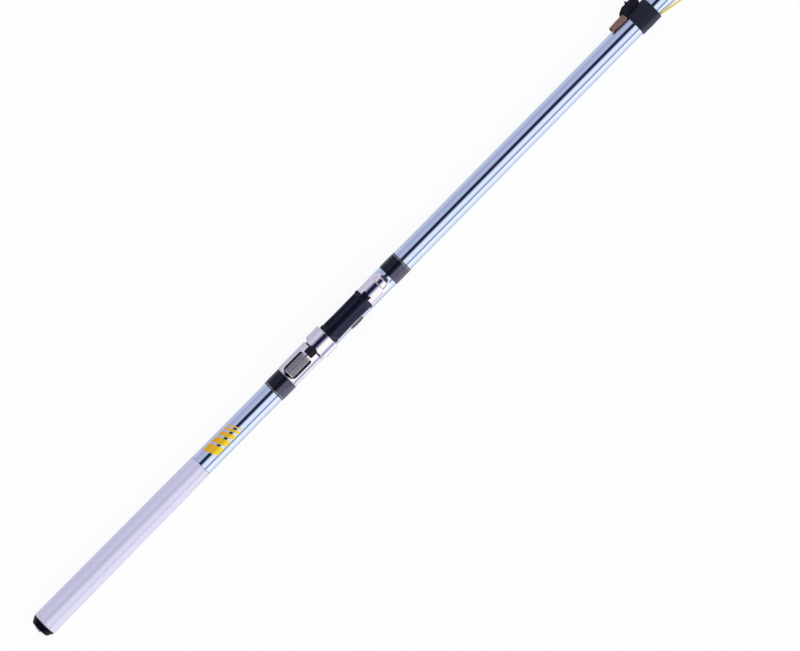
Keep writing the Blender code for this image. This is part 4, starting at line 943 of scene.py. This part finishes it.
# Fixed hood: drawn steel, brazed to the plate along its two feet, its mouth notched for the cover's tongue
# and its top dropping to a closed end. It has a liner like the other hood's.
FIXED_X, FIXED_HALF_WIDTH, FIXED_BASE, FIXED_TOP = (0.4910, 0.5109), 0.0113, 0.0102, 0.0212
FIXED_WALL, FIXED_EDGE, FIXED_END_CURVE, FIXED_LINER_X = 0.0010, 0.00022, 0.0034, (0.4957, 0.5034)
FIXED_FALL_X, FIXED_FALL, FIXED_DROP_X, FIXED_DROP = 0.4945, 0.0010, 0.5094, 0.0032
NOTCH_END, NOTCH_HALF_WIDTH = 0.4954, 0.0051


def fixed_top(x):
    """Nearly level behind the mouth, then dropping on a quarter ellipse to the closed end."""
    fall, drop = way(x, FIXED_FALL_X, FIXED_X[1]), way(x, FIXED_DROP_X, FIXED_X[1])
    return FIXED_TOP - FIXED_FALL * fall**2 - FIXED_DROP * (1 - np.sqrt(1 - drop * drop))


def fixed_end(x, y):
    """Past the closed end, which bows out over the middle of the plate."""
    return FIXED_X[1] - FIXED_END_CURVE * (y / FIXED_HALF_WIDTH) ** 2 - x


arch = FIXED_HALF_WIDTH, FIXED_BASE, fixed_top
mouth_notch = window(FIXED_X[0] - PAST_END, NOTCH_END, NOTCH_HALF_WIDTH, CUT_CORNER)
sheet = cut_sheet(np.linspace(*FIXED_X, 70), 121, arched(*arch), (mouth_notch, fixed_end))
hood("fixed", sheet, arch, FIXED_WALL, FIXED_EDGE, FIXED_LINER_X, "butt_section")


# Seat cover: a moulded black cover that fills the seat while no reel is fitted. It has a raised rim at each
# end, fine ribs along it for the fingers, and a tongue under the fixed hood.
COVER_X, COVER_HALF_WIDTH, COVER_BASE, COVER_TOP = (0.4350, 0.4906), 0.0110, 0.0110, 0.0200
COVER_WALL, COVER_EDGE, RIM_WIDTH, RIM_RISE, COVER_WAIST = 0.0016, 0.00025, 0.0046, 0.0008, 0.0004
RIM_STEP_OUT, RIM_STEP_IN, RIB_RUN_OUT = 0.0007, 0.0010, 0.0012
RIB_COUNT, RIB_DEPTH, RIB_START, RIB_BLEND = 26, 0.00018, 0.22, 0.06
TONGUE_X, TONGUE_HALF_WIDTH = (0.4884, 0.4944), 0.0045
TONGUE_BASE, TONGUE_TOP, TONGUE_MIDDLE, TONGUE_EASING = 0.0165, 0.0197, 0.0181, 0.0004


def cover_shape(x, w):
    """The arch, raised by its rims near both ends, waisted between them, and cut by ribs along it beside the
    crown."""
    end = np.minimum(x - COVER_X[0], COVER_X[1] - x)
    rim = np.clip(end / RIM_STEP_OUT, 0, 1) * np.clip((RIM_WIDTH - end) / RIM_STEP_IN, 0, 1)
    rim = rim * rim * (3 - 2 * rim)
    rib = (0.5 - 0.5 * np.cos(2 * np.pi * RIB_COUNT * w)) * np.clip((np.abs(w) - RIB_START) / RIB_BLEND, 0, 1)
    rib = rib * np.clip((end - RIM_WIDTH) / RIB_RUN_OUT, 0, 1)
    grow = RIM_RISE * rim - COVER_WAIST * np.sin(np.pi * way(x, *COVER_X)) ** 2 - RIB_DEPTH * rib
    y, z = arched(COVER_HALF_WIDTH, COVER_BASE, lambda x: np.full_like(x, COVER_TOP))(x, w)
    height = (z - COVER_BASE) / (COVER_TOP - COVER_BASE)
    return y * (1 + grow / COVER_HALF_WIDTH), z + grow * height


# Painted light: the cover's -Y side is painted in the lighter lit-side black.
black, lit_side_black = (0.0030, 0.0040, 0.0090), (0.030, 0.030, 0.054)
cover_black = moulded_black("Black seat cover", black, 0.20, 2600.0, 0.000010, 1.5, lit_side_black)
x0, x1 = COVER_X
x = steps_at(
    (x0, x0 + 0.0010, 7), (x0 + 0.0034, x0 + 0.0062, 12), (x0 + 0.007, x1 - 0.007, 50),
    (x1 - 0.0062, x1 - 0.0034, 12), (x1 - 0.0010, x1, 7),
)
cover = cut_sheet(x, 261, cover_shape)
cover = make_piece("moulded_seat_cover", cover, cover_black, "black_plastic", "seat_cover", body="seat_cover")
press(cover, COVER_WALL, COVER_EDGE)
tongue_arch = arched(TONGUE_HALF_WIDTH, TONGUE_BASE, lambda x: np.full_like(x, TONGUE_TOP))
y, z = tongue_arch(np.zeros(41), np.linspace(-1, 1, 41))
x0, x1 = TONGUE_X
outline = eased([(x0, 0.0), (x0, 1.0), (x1, 1.0), (x1, 0.0)], TONGUE_EASING, closed=False)
px, share = outline[1:-1].T[:, :, None]
rows = np.stack([px + 0 * y, y * share, TONGUE_MIDDLE + (z - TONGUE_MIDDLE) * share], -1)
make_piece("seat_cover_tongue", skin(rows), cover_black, "black_plastic", body="seat_cover")


# Finger pad: a black rubber pad with a glossy skin, bonded under the tube below the seat, thickest at its
# middle and thinning out towards its edge.
PAD_X, PAD_WALL, PAD_GLUE = (0.4574, 0.4750), 0.0009, 0.0001
PAD_REACH, PAD_MIDDLE = np.radians((103, 203))
lengthways = np.sin(np.linspace(-np.pi / 2, np.pi / 2, 60))[:, None] * 0.995
over = np.linspace(-1, 1, 90)
share, lift = np.concatenate([over, over[::-1]])[None, :], np.concatenate([1 - over**12, 0 * over])[None, :]
px = sum(PAD_X) / 2 + lengthways * (PAD_X[1] - PAD_X[0]) / 2 + 0 * share
turn = PAD_MIDDLE + PAD_REACH * (1 - 0.10 * lengthways**2) * share
radius = blank_radius(px) + PAD_GLUE + PAD_WALL * lift * (1 - lengthways**2) ** 0.6
pad = skin(np.stack([px, radius * np.sin(turn), radius * np.cos(turn)], -1))
pad_black = moulded_black("Glossy finger pad", (0.0025, 0.0026, 0.0060), 0.10, 900.0, 0.000004, gloss=2.2)
make_piece("oval_finger_pad", pad, pad_black, "cushion", "finger_pad")


# Strap: a sleeve of ribbed black elastic over the tube. Its gathered end is sewn into a bunch at the tube's
# side, and a tapered brown toggle hangs from the bunch.
STRAP_X, STRAP_WALL, STRAP_RIB_PITCH, STRAP_RIB, STITCHES = (0.8936, 0.9203), 0.0010, 0.0011, 0.00011, 70
STRAP_EDGE, STRAP_EDGE_SHARE, SLACK = 0.0006, 0.45, ((0.00010, 3, 220), (0.00006, 7, -500))


def woven_elastic(name, dark, light):
    """Black elastic: the yarns cross its ribs as rows of pale dots, and the folds between stay dark. The dots
    are also painted paler towards -Y, as painted light on the lit side."""
    material, place = new_finish(name)
    x, y, z = place.parts()
    rib = (x * (2 * np.pi / STRAP_RIB_PITCH)).sine() * 0.5 + 0.5
    yarn = (y.angle_from(z) * STITCHES).sine() * 0.5 + 0.5
    fuzz = place.grain(3000.0, 4.0)
    # The last factor is painted light: it makes the dots paler on the -Y side.
    dots_and_lit_side = rib * yarn * (fuzz * 0.8 + 0.3) * (3.6 - y.ease(-0.0120, -0.0080) * 3.0)
    close_finish(
        place,
        Base_Color=dots_and_lit_side.tint(dark, light),
        Roughness=fuzz * 0.2 + 0.65,
        Normal=(rib * 0.4 + yarn * 0.4 + fuzz * 0.4).relief(0.00012, 0.7),
        Sheen_Weight=0.06,
        Specular_Tint=COOL_GLOSS,
    )
    return material


def inside_edge(x):
    """0 at either edge of the strap and 1 past its rolled edge."""
    return np.clip(np.minimum(x - STRAP_X[0], STRAP_X[1] - x) / STRAP_EDGE, 0, 1)


def waves(kinds, turn, gone):
    """Cosine waves round a turn that drift along a length: each kind has a height, a count and a drift."""
    return sum(height * np.cos(lobes * turn + drift * gone) for height, lobes, drift in kinds)


def strap_slack(x, r, turn):
    """Slow waves that never dip below the sleeve, and fade at its edges."""
    return (waves(SLACK, turn, x) - waves(SLACK, np.pi, 0)) * inside_edge(x)


elastic = woven_elastic("Black woven elastic", (0.0020, 0.0026, 0.0060), (0.110, 0.120, 0.190))
gathered = woven_elastic("Gathered elastic", (0.0006, 0.0008, 0.0020), (0.010, 0.011, 0.022))
x = np.linspace(*STRAP_X, 150)
rolled = STRAP_EDGE_SHARE + (1 - STRAP_EDGE_SHARE) * np.sqrt(1 - (1 - inside_edge(x)) ** 2)
ribs = STRAP_RIB * np.cos(2 * np.pi * x / STRAP_RIB_PITCH) * inside_edge(x)
profile = [*zip(x, on_blank(x) + STRAP_WALL * rolled + ribs), (x[-1], on_blank(x[0])), (x[0], on_blank(x[0]))]
strap = skin(turned(profile, 288, lift=strap_slack), "joined")
make_piece("woven_elastic_strap", strap, elastic, "elastic", "elastic_strap")

# The bunch: the strap's end folded over itself several times. Each section across it is a rounded box whose
# outline swells with the folds, and the folds drift along it.
BUNCH_X, BUNCH_MIDDLE, BUNCH_HALF = (0.8888, 0.9150), (0.0172, 0.0042), (0.0050, 0.0058)
BUNCH_FOLDS = ((0.075, 7, 5.0), (0.035, 3, -11.0), (0.03, 2, 22.0))
BUNCH_BOX, BUNCH_ROUND, BUNCH_LEAST, BUNCH_THIN, BUNCH_THIN_END = 2.8, 5, 0.02, 0.30, 0.35
BUNCH_ARCH, BUNCH_TUCK, BUNCH_TUCK_END, BUNCH_LEAN, BUNCH_SKEW = 0.0004, 0.0030, 0.3, 0.0040, 0.0005


def boxed(turn, power):
    """The reach of a rounded box: the superellipse of this power."""
    return (np.abs(np.cos(turn)) ** power + np.abs(np.sin(turn)) ** power) ** (-1 / power)


share, turn = np.linspace(0, 1, 90)[:, None], angles(144)[None, :]
thin = 1 - BUNCH_THIN * np.clip(BUNCH_THIN_END - share, 0, 1) / BUNCH_THIN_END
swell = (1 - np.abs(2 * share - 1) ** BUNCH_ROUND) ** 0.5 * thin + BUNCH_LEAST
reach = swell * (1 + waves(BUNCH_FOLDS, turn, share)) * boxed(turn, BUNCH_BOX)
lift = BUNCH_ARCH * np.sin(np.pi * share) - BUNCH_TUCK * np.clip(BUNCH_TUCK_END - share, 0, 1)
x = BUNCH_X[0] + (BUNCH_X[1] - BUNCH_X[0]) * share + BUNCH_SKEW * np.sin(3 * turn)
y = BUNCH_MIDDLE[0] + lift + BUNCH_HALF[0] * reach * np.cos(turn)
z = BUNCH_MIDDLE[1] + BUNCH_LEAN * (0.5 - share) + BUNCH_HALF[1] * reach * np.sin(turn)
from_axis = np.hypot(y, z)
push = np.maximum(on_blank(0.9) + STRAP_WALL * 0.9, from_axis) / from_axis
bunch = skin(np.stack([x, y * push, z * push], -1))
make_piece("gathered_strap_end", bunch, gathered, "elastic", "strap_gather")

# The bunch's cord stop: a small moulded bead, sewn on.
BEAD_MIDDLE, BEAD_RADIUS, BEAD_SQUARE = (0.9035, 0.0238, 0.0050), 0.0013, 0.8
olive_tones = (0.045, 0.036, 0.018), (0.11, 0.085, 0.045)
olive = one_grain("Olive cord stop", *olive_tones, (1500.0,), 0.45, 0.2, 0.00005)
half = np.linspace(0.05, np.pi - 0.05, 20)
profile = zip(BEAD_MIDDLE[0] - BEAD_RADIUS * np.cos(half), BEAD_RADIUS * np.sin(half) ** BEAD_SQUARE)
make_piece("sewn_cord_stop", skin(turned([*profile], 36, BEAD_MIDDLE[1:])), olive, "brown_plastic")

# The toggle: a tapered, slightly flat body with cross ribs for the thumb and a hole near its thin end. The
# hole is a shallow dent painted nearly black, and the underside is painted dark, both as painted shade.
TOGGLE_X, TOGGLE_MIDDLE, TOGGLE_RADII = (0.8710, 0.8925), (0.0130, 0.0078), (0.0027, 0.0036, 0.0040)
TOGGLE_FLAT, TOGGLE_LEAN, TOGGLE_ENDS, TOGGLE_END_SHARE = (0.82, 0.95), 0.0006, (0.06, 0.05), 0.55
TOGGLE_BOX, TOGGLE_RIB_PITCH, TOGGLE_RIB, TOGGLE_HOLE = 3, 0.0013, 0.00022, (0.8724, 0.0137)
TOGGLE_HOLE_RADIUS, TOGGLE_HOLE_DEPTH, TOGGLE_SHADE = 0.0008, 0.0011, (-0.0018, 0.0004)
brown, place = new_finish("Brown toggle")
x, y, z = place.parts()
rib, wear = (x * (2 * np.pi / TOGGLE_RIB_PITCH)).sine() * 0.5 + 0.5, place.grain(700.0)
# Painted shade: the toggle is coloured nearly black below its middle, on its underside.
under = z.ease(TOGGLE_MIDDLE[1] + TOGGLE_SHADE[0], TOGGLE_MIDDLE[1] + TOGGLE_SHADE[1])
beyond, beside = x - TOGGLE_HOLE[0], y - TOGGLE_HOLE[1]
from_hole = (beyond * beyond + beside * beside).root()
# Painted shade: the shallow dent of the hole is coloured nearly black.
hole_shade = 1.0 - from_hole.ease(TOGGLE_HOLE_RADIUS * 0.8, TOGGLE_HOLE_RADIUS * 1.2)
colour = (rib * 0.6 + wear * 0.5).tint((0.105, 0.066, 0.054), (0.360, 0.175, 0.130))
colour = hole_shade.tint(under.tint((0.020, 0.014, 0.016), colour), (0.006, 0.005, 0.006))
close_finish(place, Base_Color=colour, Roughness=wear * 0.2 + 0.48, Normal=wear.relief(0.00005))
share = [0.0, 0.004, 0.015, 0.035, 0.06, *np.linspace(0.07, 0.95, 150), 0.97, 0.985, 0.996, 1.0]
share, turn = np.array(share)[:, None], angles(120)[None, :]
ends = np.clip(np.minimum(share / TOGGLE_ENDS[0], (1 - share) / TOGGLE_ENDS[1]), 0, 1)
round_end = TOGGLE_END_SHARE + (1 - TOGGLE_END_SHARE) * np.sqrt(1 - (1 - ends) ** 2)
x = TOGGLE_X[0] + (TOGGLE_X[1] - TOGGLE_X[0]) * share
ribs = TOGGLE_RIB * (0.5 + 0.5 * np.cos(2 * np.pi * x / TOGGLE_RIB_PITCH)) * np.clip(share / 0.2 - 1, 0, 1)
reach = (np.interp(share, (0, 0.45, 1), TOGGLE_RADII) * round_end - ribs) * boxed(turn, TOGGLE_BOX)
y = TOGGLE_MIDDLE[0] + TOGGLE_LEAN * (1 - share) + reach * np.sin(turn)
z = TOGGLE_MIDDLE[1] + reach * np.where(np.cos(turn) > 0, *TOGGLE_FLAT) * np.cos(turn)
dent = np.clip(1.15 - np.hypot(x - TOGGLE_HOLE[0], y - TOGGLE_HOLE[1]) / TOGGLE_HOLE_RADIUS, 0, 1)
z -= TOGGLE_HOLE_DEPTH * dent * (np.cos(turn) > 0)
toggle = skin(np.stack([x + 0 * turn, y, z], -1))
make_piece("ribbed_brown_toggle", toggle, brown, "brown_plastic", "strap_toggle")


# Nested sections: three silver tubes and a solid glass-fibre tip, each resting on the cushion. Their open
# ends show only when the cradle is pulled off or they are drawn out.
SECTIONS = {
    2: (0.0300, 1.0995, 0.0103, 0.0091, 0.00095), 3: (0.0303, 1.1195, 0.0078, 0.0067, 0.00085),
    4: (0.0306, 1.1395, 0.0055, 0.0045, 0.00075),
}
TIP_X, TIP_RADII = (0.0309, 1.1520), (0.0034, 0.0013)
plain_silver = silver_coat("Plain mirror silver coat", False)
for number, (x0, x1, r0, r1, wall) in SECTIONS.items():
    stops = np.linspace(x0, x1, 40)
    outline = [*zip(stops, np.interp(stops, (x0, x1), (r0, r1))), (x1, r1 - wall), (x0, r0 - wall)]
    tube_skin, body = turned_ring(outline, 0.0002, 96), f"section_{number}"
    make_piece(f"{body}_tube", tube_skin, plain_silver, "silver", f"{body}_blank", body=body)
varnish_tones, streak = ((0.010, 0.010, 0.014), (0.045, 0.045, 0.055)), (20.0, 1500.0, 1500.0)
tip_varnish = one_grain("Varnished glass tip", *varnish_tones, (1.0,), 0.16, 0.1, 0.00001, streak, IOR=1.5)
stops = np.linspace(*TIP_X, 40)
outline = [(TIP_X[0], 0.0008), *zip(stops, np.interp(stops, TIP_X, TIP_RADII)), (TIP_X[1], 0.0004)]
tip = turned_solid(outline, 0.0002, 48)
make_piece("solid_glass_tip", tip, tip_varnish, "tip", "section_5_tip", body="section_5")


# Guides: each is a steel collar on its section's end with two bent rear legs, a front leg and a ring holder
# that leans forward, and a polished ceramic ring pressed into the holder. A winding stands behind each
# collar.
GUIDES = {
    1: ("butt_section", (1.0370, 1.0630), 1.0633, 1.0797, 0.0119, 0.0100, 0.0019, 0.0018),
    2: ("section_2", (1.0815, 1.0870), 1.0873, 1.0992, 0.0091, 0.0080, 0.0017, 0.0016),
    3: ("section_3", (1.1020, 1.1080), 1.1083, 1.1192, 0.0067, 0.0065, 0.0015, 0.0014),
    4: ("section_4", (1.1225, 1.1285), 1.1288, 1.1392, 0.0045, 0.0050, 0.0013, 0.0012),
}
COLLAR_WALL, COLLAR_LIP, GUIDE_WINDING_WALL, GUIDE_TILT = 0.0008, (0.0012, 0.0002), 0.0007, np.radians(12)
RING_WIDTH, RING_PROUD, RING_LIFT, RING_AHEAD = 0.0026, 0.0004, 0.0034, 0.0020
RING_BULGE, RING_EASING = 0.10, 0.9
LEG_FOOT, LEG_KNEE, KNEE_LIFT, HIP_ANGLE = (0.12, 0.30, 0.955), (0.35, 0.36, 1.0), 0.0020, np.radians(22)
LEG_THICKNESS, FRONT_TAPER, REAR_TAPER, STRUT_STEP, STRUT_SIDES = 0.6, (1.15, 0.9), (1.1, 0.85), 0.00025, 20
guide_steel = bright_steel("Grey guide steel", (0.42, 0.42, 0.45), 0.16)
ceramic_tones = (0.012, 0.012, 0.015), (0.020, 0.020, 0.024)
ceramic = one_grain("Polished ceramic", *ceramic_tones, (700.0, 2.0), 0.05, 0.04, 0.000004, IOR=2.2)


def leaning_ring(inner, wall, width, centre, tilt):
    """A ring whose section is a rounded bar, its middle bulging, leant forward about its centre."""
    half, outer = width / 2, inner + wall
    corners = [(half, outer), (-half, outer), (-half, inner), (half, inner)]
    x, y, z = np.moveaxis(turned(eased(corners, min(half, wall / 2) * RING_EASING, 8), 144), -1, 0)
    bulge = np.sqrt(np.maximum(1 - (x / half) ** 2, 0)) * wall * RING_BULGE
    reach = np.hypot(y, z)
    grow = 1 + np.sign(reach - inner - wall / 2) * bulge / reach
    y, z = y * grow, z * grow
    leant = np.stack([x * np.cos(tilt) + z * np.sin(tilt), y, z * np.cos(tilt) - x * np.sin(tilt)], -1)
    return skin(leant + np.array(centre), "joined")


def strut(points, start, end):
    """A bent wire through the points that tapers from one radius to another."""
    route = even_route(smooth_route(points, 12), STRUT_STEP)
    return skin(tube(route, np.linspace(start, end, len(route))[:, None], STRUT_SIDES))


def guide(names, collar, bore, insert_wall, holder_wall, width, centre, tilt, struts, body):
    """A guide's frame, which is its collar, ring holder and struts, and the ceramic ring in the holder."""
    frame_name, frame_node, ring_name, ring_node = names
    holder = leaning_ring(bore + insert_wall + GAP, holder_wall, width, centre, tilt)
    skins = [collar, holder, *(strut(*each) for each in struts)]
    make_piece(frame_name, skins, guide_steel, "guide_steel", frame_node, body=body)
    insert = leaning_ring(bore, insert_wall, width + RING_PROUD, centre, tilt)
    make_piece(ring_name, insert, ceramic, "ceramic", ring_node, body=body)


for number, (body, winding_x, start, end, radius, bore, insert_wall, holder_wall) in GUIDES.items():
    inner = radius + GAP
    outer = inner + COLLAR_WALL
    lip = (start, outer - COLLAR_LIP[1]), (start + COLLAR_LIP[0], outer)
    collar = turned_ring([*lip, (end, outer), (end, inner), (start, inner)], 0.0003, 96)
    middle = bore + insert_wall + GAP + holder_wall / 2
    centre = (end + RING_AHEAD, 0.0, outer + RING_LIFT + middle + holder_wall / 2)
    thick, lean = LEG_THICKNESS * holder_wall, np.sin(GUIDE_TILT)
    front = [(end - 0.0008, 0, outer - GAP), (centre[0] - lean * middle, 0, centre[2] - middle)]
    struts = [(front, *np.multiply(thick, FRONT_TAPER))]
    for side in (-1, 1):
        foot, knee = ((start + a * outer, side * b * outer, c * outer) for a, b, c in (LEG_FOOT, LEG_KNEE))
        drop = -middle * np.sin(HIP_ANGLE)
        hip = (centre[0] + lean * drop, side * middle * np.cos(HIP_ANGLE), centre[2] + drop)
        struts.append(([foot, np.add(knee, (0, 0, KNEE_LIFT)), hip], *np.multiply(thick, REAR_TAPER)))
    names = ("steel_guide_frame", "guide_frame", "ceramic_guide_ring", "guide_ring")
    names = [f"{name}_{number}" for name in names]
    guide(names, collar, bore, insert_wall, holder_wall, RING_WIDTH, centre, GUIDE_TILT, struts, body)
    winding(
        f"guide_thread_winding_{number}", *winding_x, lambda x: inner + 0 * x, GUIDE_WINDING_WALL,
        black_thread, "black_thread", f"guide_winding_{number}", body=body,
    )

# The guide on the tip: a tube glued over it, two struts at its sides, one in front, and a small ring.
TIP_TUBE, TIP_TUBE_WALL, TIP_TUBE_END = (1.1440, 1.1560), 0.0006, 0.0003
TIP_CENTRE, TIP_TILT = (1.1618, 0, 0.0056), np.radians(20)
TIP_BORE, TIP_RING_WALL, TIP_RING_WIDTH = 0.0035, 0.0011, 0.0022
inner = TIP_RADII[1] + 2 * GAP
outer, middle = inner + TIP_TUBE_WALL, TIP_BORE + TIP_RING_WALL * 1.5 + GAP
(x0, x1), floor_x = TIP_TUBE, TIP_X[1] + GAP
tip_tube = [(x1, TIP_TUBE_END), (x1, outer), (x0, outer), (x0, inner), (floor_x, inner)]
tip_tube = turned_solid([*tip_tube, (floor_x, TIP_TUBE_END)], 0.0002, 48)
front = (x1 - 0.0016, 0, 0.0003), (TIP_CENTRE[0] - np.sin(TIP_TILT) * middle, 0, TIP_CENTRE[2] - middle)
struts = [(front, 0.0009, 0.0008)]
for side in (-1, 1):
    foot = (x0 + 0.4 * (x1 - x0), side * 0.5 * inner, 0.8 * inner)
    hip = (TIP_CENTRE[0] - 0.0010, side * 0.96 * middle, TIP_CENTRE[2] - 0.0016)
    struts.append(((foot, hip), 0.0007, 0.0006))
guide(
    ("steel_tip_guide_frame", "tip_top_frame", "ceramic_tip_guide_ring", "tip_top_ring"), tip_tube, TIP_BORE,
    TIP_RING_WALL, TIP_RING_WALL, TIP_RING_WIDTH, TIP_CENTRE, TIP_TILT, struts, "section_5",
)


# Guide cradle: a moulded black trough that slips over the closed stack of guides. It is flat below, open
# above, and stepped inside to each guide's collar.
CRADLE_STATIONS = np.array([
    (1.0660, 0.0148, 0.0090, -0.0138), (1.0672, 0.0154, 0.0095, -0.0142), (1.1560, 0.0154, 0.0095, -0.0142),
    (1.1680, 0.0132, 0.0075, -0.0134), (1.1740, 0.0105, 0.0050, -0.0112), (1.1760, 0.0088, 0.0040, -0.0094),
])
CRADLE_TOP, CRADLE_NOSE_TOP, CRADLE_NOSE_BLEND, CRADLE_EDGE = 0.0085, 0.0060, 0.0030, 0.0003
CRADLE_BORES = ((1.0655, 0.0133), (1.0835, 0.0112), (1.1040, 0.0087), (1.1240, 0.0065), (1.1430, 0.0068))
CRADLE_BORE_END = 1.1722
CRADLE_NOSE = ((CRADLE_BORE_END + 0.00002, 1.0), (1.1740, 1.0), (1.1757, 1.0), (1.1760, 0.94))
cradle_black = moulded_black("Black cradle", (0.010, 0.010, 0.014), 0.42, 1800.0)


def cradle_section(x, radius, shrink=1.0):
    """The closed outline at one station: down a flank, under the flat foot, up the other flank, over the rim
    and round the trough. A radius of 0 gives the solid nose."""
    edge, foot, low = (np.interp(x, CRADLE_STATIONS[:, 0], part) for part in CRADLE_STATIONS.T[1:])
    nose = np.clip((edge - CRADLE_STATIONS[-1, 1]) / CRADLE_NOSE_BLEND, 0, 1)
    top = CRADLE_NOSE_TOP + (CRADLE_TOP - CRADLE_NOSE_TOP) * nose
    bend = np.linspace(0, np.pi / 2, 24)
    corner_y, corner_z = foot + (edge - foot) * np.cos(bend) ** 0.8, low * (0.5 + 0.5 * np.sin(bend) ** 0.8)
    corner = np.stack([corner_y, corner_z], -1)
    flank = np.concatenate([[(edge - CRADLE_EDGE, top), (edge, top - CRADLE_EDGE)], corner])
    if radius:
        turn = np.linspace(np.pi / 2, -np.pi / 2, 48)
        trough = np.stack([radius * np.sin(turn), -radius * np.cos(turn)], -1)
        rim = np.array([(radius + CRADLE_EDGE, top), (radius, top - CRADLE_EDGE)])
        inner = [rim, trough, rim[::-1] * (-1, 1)]
    else:
        span = edge - 2 * CRADLE_EDGE
        inner = [np.stack([np.linspace(span, -span, 52), np.full(52, top)], -1)]
    outline = np.concatenate([flank * (-1, 1), flank[::-1], *inner])
    return np.insert(outline * shrink, 0, x, axis=1)


rows = []
for (x0, radius), x1 in zip(CRADLE_BORES, [x for x, _ in CRADLE_BORES[1:]] + [CRADLE_BORE_END]):
    x0 = max(x0, CRADLE_STATIONS[0, 0])
    rows += [cradle_section(x, radius) for x in np.unique(np.clip([x0, *CRADLE_STATIONS[:, 0], x1], x0, x1))]
rows = np.stack(rows + [cradle_section(x, 0, shrink) for x, shrink in CRADLE_NOSE])
points, (sides,) = skin(rows, "open")
count = rows.shape[1]
k = np.arange(count // 2 - 1)
rear_rim = np.stack([k + 1, k, count - 1 - k, count - 2 - k], -1)
nose_row, nose_point = np.arange(len(points) - count, len(points)), np.full(count, len(points))
nose_fan = np.stack([nose_row, np.roll(nose_row, -1), nose_point], -1)
trough = np.concatenate([points, points[nose_row].mean(0)[None]]), [sides, rear_rim, nose_fan]
node = "guide_cradle"
cradle = make_piece("moulded_guide_cradle", trough, cradle_black, "black_plastic", node, body=node)
cradle.data.set_sharp_from_angle(angle=np.radians(35))


low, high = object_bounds()
